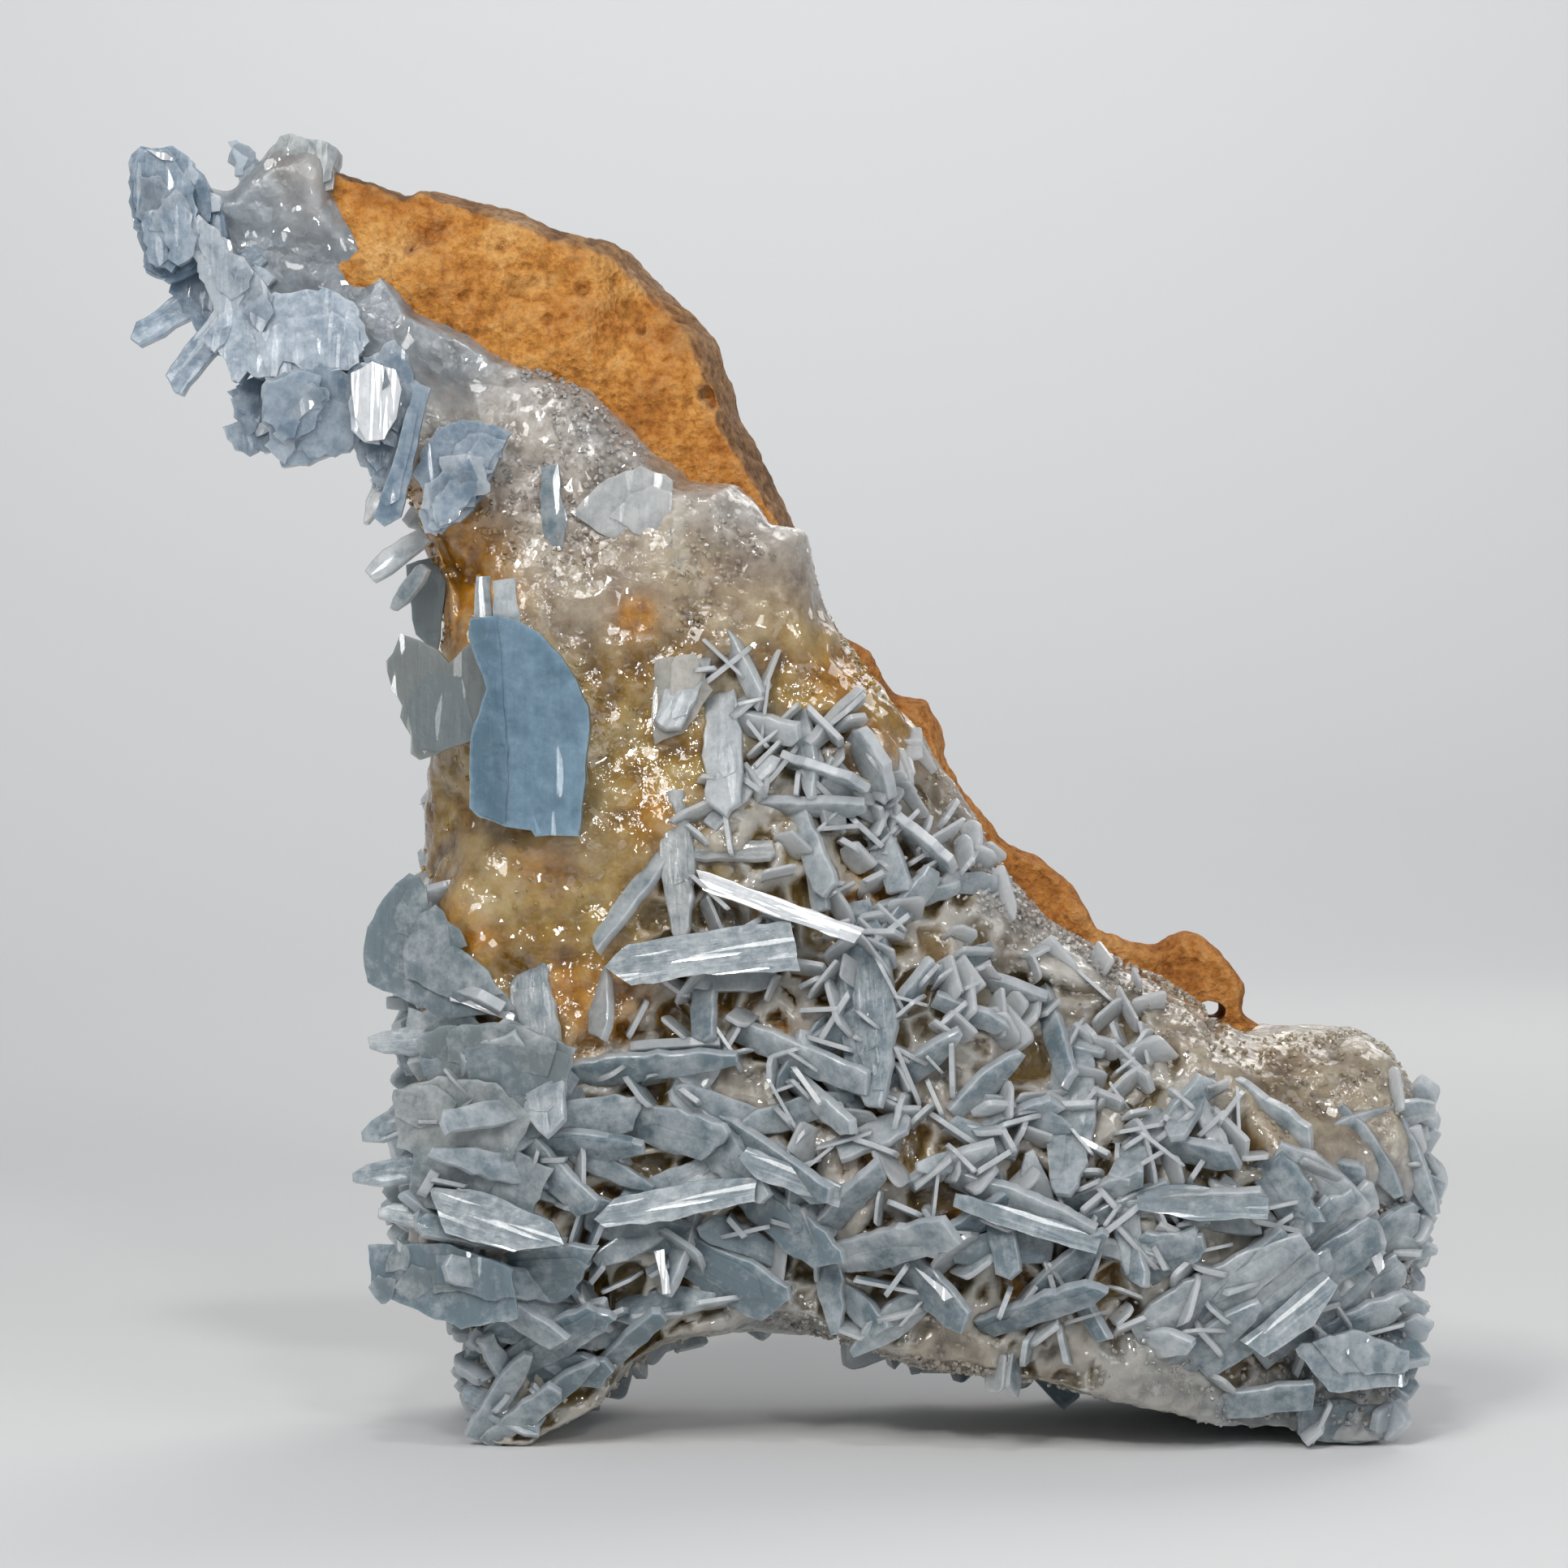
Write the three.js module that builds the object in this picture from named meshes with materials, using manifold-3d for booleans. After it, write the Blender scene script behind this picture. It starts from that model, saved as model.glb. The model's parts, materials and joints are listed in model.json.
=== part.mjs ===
// Barite blade specimen: flat blue-grey barite blades on a white and honey-coloured crust, grown over an
// iron-stained rock. It stands on its own two feet, with a low arch between them.
// Millimetres, +Z up, X to the right, Y away from the viewer. The origin is under the middle of the
// specimen, on the surface that it stands on.

import * as THREE from 'three';
import { mergeVertices } from 'three/addons/utils/BufferGeometryUtils.js';
import { TessellateModifier } from 'three/addons/modifiers/TessellateModifier.js';
import { ImprovedNoise } from 'three/addons/math/ImprovedNoise.js';
import { MeshSurfaceSampler } from 'three/addons/math/MeshSurfaceSampler.js';
import Module from 'manifold-3d';

// Driving dimensions
const gap = 0.35; // clear space between pieces that have grown against each other
const facetLength = 10; // longest edge of a facet across the front and back of rock and crust
const bladeThickness = 1.1; // an ordinary blade of the boxwork
const plateThickness = 1.6; // the broad plates of the wing and the large blade
const bladeSunk = 2.2; // how far a blade's root reaches under the surface that it grows from
const groundDepth = 30; // depth of the block that cuts the feet flat at z = 0
const fillBladeCount = 16; // short blades scattered over the crust's back
const centring = new THREE.Vector3(0.1, 1.1, 0); // moves the drawn coordinates to the middle of the specimen

// Outlines are points of x and z, clockwise as seen from the front
const crustOutline = [
  [-49.5, 104.5], [-46.5, 103.5], [-44.5, 106], [-42.5, 107.6], [-39, 107.4], [-38.5, 103], [-33.5, 99],
  [-31, 94], [-22, 90], [-16.5, 87], [-12, 82.5], [-8, 79.2], [-4, 79], [-1.5, 75.5], [1.5, 75], [3, 69],
  [5, 66], [8, 62], [10.5, 58.5], [13.5, 54.5], [16, 51], [18.5, 46.5], [22, 42.5], [28.5, 39], [32, 37.5],
  [35, 35.5], [38, 33], [48, 33.3], [50.5, 32], [52.5, 29], [53.5, 22], [52.7, 16], [51.5, 8.5], [50, 5],
  [49.2, -3], [44.4, -3], [42.5, 0.6], [35.5, 1.7], [30.5, 3.2], [20.5, 4.9], [10.5, 6], [2, 8.5], [-3, 9.2],
  [-7.5, 8.5], [-11.5, 6.5], [-15, 3.2], [-20.5, 0.8], [-21, -3], [-24.2, -3], [-26, 3], [-25.6, 8],
  [-30.5, 14.5], [-31.5, 20], [-30.6, 30], [-31.8, 40], [-30.4, 48], [-29.5, 58], [-28.5, 69], [-31, 77],
  [-34.5, 81.5], [-42, 86], [-45.5, 90], [-48, 94], [-49.5, 99],
];
const rockOutline = [
  [-41, 104.5], [-38.6, 106.3], [-34, 104.6], [-31.7, 103.2], [-30.5, 104.5], [-24.6, 102.6], [-19, 100.6],
  [-13.3, 99.2], [-11.6, 97.2], [-7.6, 93.5], [-5.9, 90], [-4.6, 85.2], [-2.3, 81.2], [0.4, 77], [2, 72.5],
  [2, 69], [4.9, 66.5], [7.1, 65.2], [9.3, 61.9], [12.1, 61.3], [13.1, 59.5], [13.4, 56.5], [15.4, 53.5],
  [18.7, 49.5], [22.1, 47.5], [24.7, 45], [26.7, 41.2], [29.4, 40.2], [31.4, 39.9], [33.7, 41.2],
  [35.4, 41], [37.4, 39.2], [38.7, 37], [38.9, 34.5], [40.7, 33], [38, 28], [27, 31], [15, 37], [3, 45],
  [-9, 56], [-19, 68], [-27, 79], [-35, 90], [-43, 99],
];

// Depth marks are points of x and z with the y of the surface there: y is negative towards the viewer
const crustFront = [
  [-49, 102, -4], [-42, 90, -7], [-34, 82, -8.5], [-38, 99, -3.5], [-25, 93, -5], [-12, 84, -7.5],
  [0, 76, -8.5], [3, 69, -6.5], [-12, 66, -8.5], [-22, 58, -11], [-22, 47, -11.5], [-30, 53, -6.5],
  [6, 56, -9.5],
  [12, 55, -5.5], [-4, 45, -12.5], [10, 33, -15], [22, 42, -7.5], [-26, 21, -16], [-23, 3, -12],
  [0, 12, -14.5], [10, 21, -18], [30, 15, -17], [38, 22, -15], [47, 2, -12], [45, 31, -8.5], [52, 18, -9],
];
const crustBack = [
  [-49, 102, 3], [-42, 90, 5], [-20, 92, 8], [0, 76, 10], [-28, 60, 9], [-30, 30, 12], [10, 30, 17],
  [-23, 3, 14], [0, 12, 14], [30, 8, 16], [47, 3, 14], [47, 28, 11], [30, 38, 10], [12, 56, 9],
];
const rockFront = [
  [-40, 102, -2], [-30, 102, -1.5], [-33, 97, -3.5], [-20, 98, -2.5], [-20, 92, -4.5], [-8, 88, -3.5],
  [-10, 96, 0], [0, 76, -3], [-30, 80, 0], [-10, 60, 0], [10, 62, 2.5], [14, 54, 2], [22, 46, 2],
  [32, 40, 2.5], [38, 36, 1.5], [10, 40, -3], [0, 24, -2], [30, 22, -2], [-20, 40, 0],
];
const rockBack = [
  [-40, 102, 5], [-30, 100, 10], [-15, 96, 15], [-8, 90, 12], [0, 76, 13], [-12, 70, 18], [-26, 60, 12],
  [12, 60, 8], [14, 54, 8], [22, 46, 8.5], [32, 40, 8], [38, 36, 7], [0, 45, 20], [0, 24, 16],
  [30, 24, 14], [-20, 35, 16],
];

// The middle line of each mass, as points of x and z: its edges round off towards it
const crustSpine = [
  [-44, 97], [-35, 90], [-22, 82], [-14, 72], [-12, 60], [-10, 48], [-4, 36], [6, 26], [20, 20], [34, 18],
  [43, 20], [46, 9], [-18, 22], [-22, 12],
];
const rockSpine = [
  [-37, 101], [-30, 97], [-20, 90], [-12, 80], [-5, 68], [3, 58], [12, 49], [22, 41], [30, 36], [35, 36],
];

// Pits in the rock's broken front face: x, z, radius and depth
const rockPits = [
  [-6.6, 86.7, 1.6, 2.2], [-30.3, 99.9, 1.8, 2], [-17, 95.5, 1.5, 1.4], [-24, 99, 1.3, 1.2],
];

// The small hole between the rock's thin flange and the crust
const flangeHole = [[34.6, 34.2], [35.4, 35.6], [37.2, 35.5], [37.9, 34.4], [36.6, 33.8]];

// Blades of the foot and middle: x and z of the root, x and z of the tip, width, how far the tip rises
// towards the viewer, and the roll about its length in degrees (0 shows its face, 90 its edge)
const frontBlades = [
  [-9, 51.5, -8.5, 41.5, 2.6, 3, 15], [-10.3, 48, -15.7, 40.7, 1.4, 4, 40], [-7, 46.8, 6, 41.7, 1.5, 5, 60],
  [-14.5, 39, 1, 41.2, 4, 5, 15], [6, 42.5, 7.1, 30.5, 3.5, 4, 20], [-5.3, 60, -5, 51.5, 3.2, 3, 10],
  [-7.6, 64, -10, 58.5, 2.8, 2, 10], [-3.6, 59.3, 1.1, 58.2, 1.9, 3, 30], [1.5, 58.2, 2.1, 53, 1.6, 3, 30],
  [1, 51.5, 3.5, 45.3, 2, 3, 25], [7.4, 50.5, 9.5, 45.3, 2.4, 3, 20], [9, 51, 14, 47, 0.8, 3, 75],
  [2, 55.3, 7, 53.6, 0.8, 3, 75], [3.3, 58.7, 6.5, 62, 1.2, 3, 50], [-4.8, 66.3, -1.8, 60.5, 1.3, 2, 40],
  [-0.7, 52.4, 6.7, 52.3, 1.3, 3, 50], [9, 43, 12.2, 47.2, 1.9, 3, 30], [6.6, 56.4, 8.5, 53, 1, 3, 60],
  [-16.3, 30.8, -4, 32.2, 2.3, 4, 25], [-2.6, 33.7, 6.7, 30, 2.3, 5, 25], [6.2, 40.5, 7, 28.4, 4.7, 4, 20],
  [-11.3, 26.8, -4.6, 25.2, 3.6, 4, 15], [-7, 26.2, -1.6, 21, 3.1, 5, 20], [-15.6, 20, -2.3, 22, 2.8, 6, 25],
  [-2.6, 21, 4.4, 15.2, 3.5, 5, 20], [4.3, 16, 13.4, 18.8, 3.1, 5, 20], [3, 18.4, 8, 24.4, 2.1, 5, 30],
  [-4.3, 26, 3.5, 21, 2.1, 4, 35], [1, 30, 5.4, 26.3, 1.6, 4, 40], [17, 20.5, 17.8, 14.7, 2.1, 4, 20],
  [15.3, 22, 24.7, 18.8, 1.9, 5, 35], [11.8, 23, 16.7, 25.6, 1.6, 4, 35], [21.5, 35.7, 23, 30, 1.6, 4, 35],
  [23.4, 30.5, 22.3, 21.2, 4.1, 4, 15], [17.5, 11, 25.4, 14.3, 2.3, 4, 30], [20.3, 12.7, 25.4, 18.5, 2.5, 5, 25],
  [10.4, 15, 14.6, 10.8, 2.8, 4, 30], [3.5, 15, 4, 9.7, 2, 4, 20], [5, 12.7, 8, 10, 2.1, 3, 25],
  [-8.2, 17.4, -9.7, 13, 1.3, 3, 50], [-7, 15.5, 0, 12, 4, 3, 20], [-18, 10.7, -14.2, 12, 2.1, 3, 25],
  [-14.5, 7.2, -10, 11.6, 1.6, 3, 30], [14, 36, 18, 34.3, 1.6, 3, 30], [9, 36, 12, 40, 1.2, 3, 45],
  [9.5, 30.5, 14, 34.4, 2, 3, 30], [16.7, 38, 21.5, 36.7, 1.2, 3, 50], [18, 27, 22.3, 28.7, 1.6, 4, 35],
  [-21, 38.5, -19, 26, 3.9, 5, 15], [-30.7, 32, -25.6, 31.2, 2.7, 2, 15], [-28.3, 21.3, -18.6, 18, 3.3, 5, 20],
  [-21.6, 14.5, -15, 15.3, 4.9, 4, 15], [-20.5, 24.5, -15.5, 19.7, 2.5, 4, 25], [-18.6, 25, -11.4, 25, 2.4, 4, 30],
  [-27.3, 37, -22.5, 35.4, 1, 4, 65], [-15.2, 38.5, -15, 33.3, 1.7, 3, 40], [-6.7, 37.7, -6.6, 33.3, 2, 3, 30],
  [-22.6, 6.7, -14.2, 12, 3.1, 5, 20], [28, 20, 38.7, 20.8, 2.3, 5, 30], [23.7, 20.8, 29, 23, 1.6, 4, 30],
  [30, 10.8, 41.8, 17.5, 4, 5, 15], [29, 16, 33.4, 17.7, 4, 4, 10], [27.3, 17.5, 28.7, 14, 1.9, 4, 30],
  [30.6, 25, 36.5, 24, 1.9, 4, 40], [34, 30, 31, 25.6, 1.7, 4, 35], [39.8, 22.3, 42.6, 18.4, 3.5, 4, 15],
  [47, 17.7, 48.2, 14.8, 1.1, 4, 60], [35.4, 3.7, 43, 5, 2.4, 5, 20], [29.3, 9.2, 32.7, 9.5, 2.4, 4, 20],
  [23.7, 12.7, 25.7, 9.5, 1.2, 3, 40], [38, 28.5, 43, 25, 2, 3, 30], [15, 29, 19, 32.5, 2, 3, 30],
];

// Blades that overhang the edge: the same values, but the root is inside the mass and the tip outside
const edgeBlades = [
  [-28, 28.5, -34.3, 25.5, 3, -2, 15], [-28, 23.5, -35, 22.3, 2.4, -2, 15], [-28, 33.5, -34, 33, 2.5, -2, 15],
  [-27, 19, -33, 19.5, 2.2, -2, 20], [-25, 14.6, -32.6, 14.6, 4.4, -2, 10], [-22, 2.5, -26.6, 4.5, 2.5, -1, 20],
  [48, 21, 54.2, 20.5, 4.2, -3, 10], [47, 26, 53.5, 27.5, 2.5, -3, 20], [46, 12, 52.8, 11, 3.5, -3, 15],
  [45, 7.5, 51.6, 6, 3.4, -3, 20], [46, 16.5, 53.6, 15.8, 2.4, -3, 20], [44, 2.2, 50.3, 2, 3.6, -2, 10],
  [-26, 76, -35.3, 75.3, 2.4, -1, 20], [-26, 72, -35.4, 71.3, 1.8, -1, 25], [-26, 66, -32.6, 64.8, 2.2, -1, 20],
  [-27, 53, -31.4, 52, 2, -1, 25], [-28, 47, -32, 45.6, 2.2, -1, 20],
];

// Broad plates: an outline of x and z, the y of its middle, how much y grows per mm of x and of z
const leftPlates = [
  { points: [[-31, 48], [-33.4, 44.5], [-34.7, 40], [-34.3, 38], [-27.3, 35], [-22, 36], [-24.6, 39.5], [-28.5, 42]],
    y: -12, lean: [-0.25, 0.05] },
  { points: [[-33.8, 17], [-33.5, 13.2], [-26, 10.5], [-21.5, 11.5], [-22, 15.5], [-27, 17.2]],
    y: -17, lean: [-0.3, 0.1] },
  { points: [[-30.5, 35.5], [-31.5, 31], [-27, 29.5], [-24, 33], [-25.5, 35.5]], y: -12, lean: [-0.2, -0.2] },
];
const rightPlates = [
  { points: [[42, 18.5], [43, 12.5], [49, 9.5], [52.5, 12], [52.3, 17.5], [47, 19]], y: -14, lean: [0.35, 0] },
  { points: [[42, 8.5], [44, 5.5], [50, 5.5], [50.6, 8.2], [46, 10]], y: -15, lean: [0.25, 0.2] },
];
const wingPlates = [
  { points: [[-54.7, 106.3], [-53.6, 107.2], [-51, 107.2], [-46.5, 105], [-45.5, 99], [-48.5, 96.2],
      [-52.9, 96.6], [-54, 101]], y: -4.2, lean: [-0.12, 0.05], thickness: 2.2 },
  { points: [[-47, 98.5], [-44.6, 97.5], [-41.3, 98.5], [-35.3, 93], [-34, 90], [-38, 87], [-45.3, 86.5],
      [-49, 91], [-50, 95]], y: -8.2, lean: [-0.15, 0.12], thickness: 2.4 },
  { points: [[-42.6, 88.5], [-36.6, 90], [-33.5, 86], [-35, 82], [-38, 80.5], [-41.5, 80.2], [-42.6, 84.5]],
    y: -8.6, lean: [-0.1, 0.25], thickness: 1.8 },
  { points: [[-36.5, 89.8], [-32.6, 89.6], [-30.5, 87.5], [-30.6, 84], [-32.6, 82], [-35, 82.5], [-36.2, 85.2]],
    y: -10.4, lean: [0.12, 0.2], thickness: 1.8 },
  { points: [[-34, 84], [-29.9, 81.2], [-23, 83.6], [-22.6, 82.2], [-25.3, 77.2], [-28, 74.9], [-31, 77.5]],
    y: -9.2, lean: [0.22, 0.05], thickness: 1.6 },
  { points: [[-45.5, 87.5], [-45, 83], [-42.5, 81.4], [-39.5, 84], [-40, 89]], y: -6.8, lean: [0.1, 0.1],
    thickness: 1.8 },
];
const wingBlades = [
  [-44, 97.5, -53.4, 91.1, 2.6, 1, 10], [-43.5, 95, -50.7, 87.2, 3, 2, 15], [-31, 87, -32.7, 75.2, 2.1, 2, 25],
  [-45, 101, -46.7, 107.9, 0.8, 1, 30], [-47, 99, -52, 94, 2, 1, 40], [-40, 92, -46.5, 92.5, 1.6, 3, 50],
  [-38, 90, -42, 95.5, 1.5, 3, 55], [-36, 86, -41, 83, 1.6, 3, 45],
];
const capPlate = {
  points: [[-44, 106.3], [-42.4, 108.4], [-39, 108], [-37.6, 106.6], [-38.5, 102], [-43, 101]],
  y: -0.5, lean: [0, 0.1], thickness: 5,
};
const largePlates = [
  { points: [[-25.4, 68], [-23, 68.6], [-20.6, 67.2], [-18.6, 65.2], [-16.9, 62], [-16.1, 59], [-16.5, 52],
      [-16.9, 50.2], [-19.3, 50.2], [-25.2, 51.9], [-25.7, 58]], y: -14.6, lean: [-0.05, 0.03], thickness: 1.9 },
  { points: [[-24.6, 66.5], [-20, 66], [-16.6, 60.5], [-15.3, 56.5], [-16, 52.5], [-24.5, 53.5]],
    y: -12.9, lean: [-0.05, 0.03], thickness: 1.9 },
  { points: [[-25.8, 64.5], [-21, 65], [-17.5, 59], [-16.2, 54], [-18, 51.2], [-25.8, 54.5]],
    y: -11.2, lean: [-0.05, 0.03], thickness: 2.2 },
  { points: [[-32.7, 64.4], [-31.6, 66.5], [-28.3, 65.3], [-23, 63.4], [-22.6, 58.5], [-27.3, 56.8],
      [-30, 56.4], [-31.6, 61.9]], y: -9.6, lean: [-0.3, 0.05], thickness: 2.6 },
];
const largePrism = [-22.8, 66.5, -22.6, 71.4, 2.3, 0, 10];

const wasm = await Module();
wasm.setup();
const noise = new ImprovedNoise();

// The same row of random numbers for the same seed
function seededRandom(seed) {
  let state = seed;
  return () => {
    state = (state * 1664525 + 1013904223) % 4294967296;
    return state / 4294967296;
  };
}

function mergedPositions(geometry) {
  const bare = geometry.clone();
  bare.deleteAttribute('normal');
  bare.deleteAttribute('uv');
  return mergeVertices(bare, 1e-4);
}

function solidOf(geometry) {
  const merged = mergedPositions(geometry);
  const vertProperties = new Float32Array(merged.attributes.position.array);
  const triVerts = new Uint32Array(merged.index.array);
  return new wasm.Manifold(new wasm.Mesh({ numProp: 3, vertProperties, triVerts }));
}

function geometryOf(solid) {
  const { vertProperties, triVerts } = solid.getMesh();
  const geometry = new THREE.BufferGeometry();
  geometry.setAttribute('position', new THREE.BufferAttribute(new Float32Array(vertProperties), 3));
  geometry.setIndex(new THREE.BufferAttribute(new Uint32Array(triVerts), 1));
  geometry.computeVertexNormals();
  return geometry;
}

// The value between marks, each of which counts more the nearer it is
function valueAt(marks, x, z) {
  const softness = 9;
  let sum = 0;
  let total = 0;
  for (const [markX, markZ, value] of marks) {
    const weight = 1 / ((x - markX) ** 2 + (z - markZ) ** 2 + softness) ** 2;
    sum += weight * value;
    total += weight;
  }
  return sum / total;
}

function nearSpine(spine, x, z) {
  const weights = spine.map(([spineX, spineZ]) => 1 / ((x - spineX) ** 2 + (z - spineZ) ** 2 + 1) ** 2);
  const total = weights.reduce((sum, weight) => sum + weight, 0);
  const spineX = spine.reduce((sum, point, i) => sum + point[0] * weights[i], 0) / total;
  const spineZ = spine.reduce((sum, point, i) => sum + point[1] * weights[i], 0) / total;
  return [spineX, spineZ];
}

// Lumps in the three directions at once, for a surface that is broken and grown over
function lump(x, y, z, size, amount, seed) {
  return new THREE.Vector3(
    noise.noise(x / size, y / size, z / size + seed),
    noise.noise(x / size + seed, y / size + 7, z / size),
    noise.noise(x / size, y / size + seed, z / size + 13),
  ).multiplyScalar(amount);
}

// A mass with an outline seen from the front, a front and a back surface through depth marks, rounded
// edges and a lumpy skin
function grownMass({ outline, front, back, spine, rounding, lumps, pits = [], seed }) {
  const shape = new THREE.Shape(outline.map(([x, z]) => new THREE.Vector2(x, z)));
  const slab = new THREE.ExtrudeGeometry(shape, { depth: 2, steps: 3, bevelEnabled: false });
  slab.translate(0, 0, -1);
  const split = new TessellateModifier(facetLength, 16).modify(slab);
  const geometry = mergedPositions(split);
  const position = geometry.attributes.position;
  for (let i = 0; i < position.count; i += 1) {
    const x = position.getX(i);
    const z = position.getY(i);
    const side = position.getZ(i);
    const [spineX, spineZ] = nearSpine(spine, x, z);
    const shrink = rounding * Math.abs(side) ** 3;
    const upright = THREE.MathUtils.smoothstep(z, 0, 12);
    const rounded = new THREE.Vector3();
    rounded.x = x + (spineX - x) * shrink * (0.35 + 0.65 * upright);
    rounded.z = z + (spineZ - z) * shrink * upright;
    const nearY = valueAt(front, rounded.x, rounded.z);
    const farY = valueAt(back, rounded.x, rounded.z);
    rounded.y = THREE.MathUtils.lerp(farY, nearY, (side + 1) / 2);
    for (const [pitX, pitZ, radius, depth] of pits) {
      const away = Math.hypot(rounded.x - pitX, rounded.z - pitZ) / radius;
      rounded.y += side > 0.9 ? depth * Math.exp(-away * away) : 0;
    }
    for (const [size, amount] of lumps) {
      rounded.add(lump(rounded.x, rounded.y, rounded.z, size, amount, seed));
    }
    position.setXYZ(i, rounded.x, rounded.y, rounded.z);
  }
  geometry.computeVertexNormals();
  return geometry;
}

// The same geometry with its surface moved outward by the gap between pieces
function grownBy(geometry, distance) {
  const swollen = geometry.clone();
  const { position, normal } = swollen.attributes;
  for (let i = 0; i < position.count; i += 1) {
    position.setXYZ(
      i,
      position.getX(i) + normal.getX(i) * distance,
      position.getY(i) + normal.getY(i) * distance,
      position.getZ(i) + normal.getZ(i) * distance,
    );
  }
  return swollen;
}

// A prism through the whole depth, for a cut seen from the front
function throughCut(points) {
  const shape = new THREE.Shape(points.map(([x, z]) => new THREE.Vector2(x, z)));
  const prism = new THREE.ExtrudeGeometry(shape, { depth: 80, bevelEnabled: false });
  prism.rotateX(Math.PI / 2);
  prism.translate(0, 40, 0);
  return solidOf(prism);
}

function groundBlock() {
  const block = new THREE.BoxGeometry(200, 200, groundDepth);
  block.translate(0, 0, -groundDepth / 2);
  return solidOf(block);
}

// One flat blade from root to tip, with a chisel end; facing is the way that its broad face looks
function blade({ root, tip, facing, width, thickness, roll, chisel }) {
  const along = tip.clone().sub(root);
  const length = along.length();
  along.normalize();
  const half = width / 2;
  const shape = new THREE.Shape([
    new THREE.Vector2(-bladeSunk, -half),
    new THREE.Vector2(length - chisel * width, -half),
    new THREE.Vector2(length, -half * 0.3),
    new THREE.Vector2(length - chisel * width * 0.3, half),
    new THREE.Vector2(-bladeSunk, half),
  ]);
  const geometry = new THREE.ExtrudeGeometry(shape, { depth: thickness, bevelEnabled: false });
  geometry.translate(0, 0, -thickness / 2);
  geometry.rotateX(THREE.MathUtils.degToRad(roll));
  const across = new THREE.Vector3().crossVectors(along, facing).normalize();
  const through = new THREE.Vector3().crossVectors(along, across);
  geometry.applyMatrix4(new THREE.Matrix4().makeBasis(along, across, through).setPosition(root));
  return solidOf(geometry);
}

// A broad plate that faces the viewer, with its own outline and lean
function plate({ points, y, lean, thickness = plateThickness }) {
  const shape = new THREE.Shape(points.map(([x, z]) => new THREE.Vector2(x, z)));
  const geometry = new THREE.ExtrudeGeometry(shape, { depth: thickness, bevelEnabled: false });
  geometry.rotateX(Math.PI / 2);
  const middleX = points.reduce((sum, point) => sum + point[0], 0) / points.length;
  const middleZ = points.reduce((sum, point) => sum + point[1], 0) / points.length;
  const position = geometry.attributes.position;
  for (let i = 0; i < position.count; i += 1) {
    const leanX = (position.getX(i) - middleX) * lean[0];
    const leanZ = (position.getZ(i) - middleZ) * lean[1];
    position.setY(i, position.getY(i) + thickness / 2 + y + leanX + leanZ);
  }
  return solidOf(geometry);
}

const caster = new THREE.Raycaster();
const inward = new THREE.Vector3(0, 1, 0);
const towardViewer = new THREE.Vector3(0, -1, 0);

// The y of the surface seen from the front at x and z, or the fallback where there is none
function frontY(mesh, x, z, fallback) {
  caster.set(new THREE.Vector3(x, -80, z), inward);
  const hits = caster.intersectObject(mesh);
  return hits.length > 0 ? hits[0].point.y : fallback;
}

// A blade placed by its row of values, rooted where the front surface is
function placedBlade(mesh, [rootX, rootZ, tipX, tipZ, visibleWidth, rise, roll]) {
  const rootY = frontY(mesh, rootX, rootZ, -8) + 0.4;
  const tipY = Math.min(frontY(mesh, tipX, tipZ, rootY), rootY + 3) - rise;
  const edgeOn = roll >= 60;
  return blade({
    root: new THREE.Vector3(rootX, rootY, rootZ),
    tip: new THREE.Vector3(tipX, tipY, tipZ),
    facing: towardViewer,
    width: edgeOn ? 5 : visibleWidth / Math.cos(THREE.MathUtils.degToRad(roll)),
    thickness: edgeOn ? visibleWidth : bladeThickness,
    roll,
    chisel: 0.35,
  });
}

// Short blades scattered over the back of a mesh, seeded, which lie almost flat on it
function scatteredBlades(mesh, count, seed) {
  const random = seededRandom(seed);
  const sampler = new MeshSurfaceSampler(mesh).setRandomGenerator(random).build();
  const point = new THREE.Vector3();
  const normal = new THREE.Vector3();
  const found = [];
  while (found.length < count) {
    sampler.sample(point, normal);
    const turn = new THREE.Vector3(random() - 0.5, random() - 0.5, random() - 0.5);
    const length = 5 + 4 * random();
    const width = 1.8 + 2.4 * random();
    const roll = 90 * (random() - 0.5);
    const onBack = normal.y > 0.8 && point.x < 44;
    const openCrust = point.z > 8 && (point.z < 28 || point.x < -24);
    if (!onBack || !openCrust) {
      continue;
    }
    turn.addScaledVector(normal, -turn.dot(normal)).normalize();
    const direction = turn.addScaledVector(normal, 0.35).normalize();
    found.push(blade({
      root: point.clone(),
      tip: point.clone().addScaledVector(direction, length),
      facing: normal.clone(),
      width,
      thickness: bladeThickness,
      roll,
      chisel: 0.3,
    }));
  }
  return found;
}

function largestOf(solid) {
  const bodies = solid.decompose();
  return bodies.reduce((best, body) => (body.volume() > best.volume() ? body : best));
}

// A cluster of crystals that have grown through each other, as one solid clear of what it grew on
function crystalCluster(crystals, clearances) {
  return largestOf(wasm.Manifold.union(crystals).subtract(clearances));
}

const rockGeometry = grownMass({
  outline: rockOutline, front: rockFront, back: rockBack, spine: rockSpine, rounding: 0.16,
  lumps: [[11, 1.6], [4.5, 0.9]], pits: rockPits, seed: 3,
});
const crustGeometry = grownMass({
  outline: crustOutline, front: crustFront, back: crustBack, spine: crustSpine, rounding: 0.2,
  lumps: [[9, 1.8], [4, 0.8]], seed: 21,
});
const crustMesh = new THREE.Mesh(crustGeometry);
const ground = groundBlock();
const hole = throughCut(flangeHole);
const rock = solidOf(rockGeometry).subtract(hole);
const rockClearance = solidOf(grownBy(rockGeometry, gap));
const massClearance = solidOf(grownBy(crustGeometry, gap)).add(rockClearance);

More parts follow.
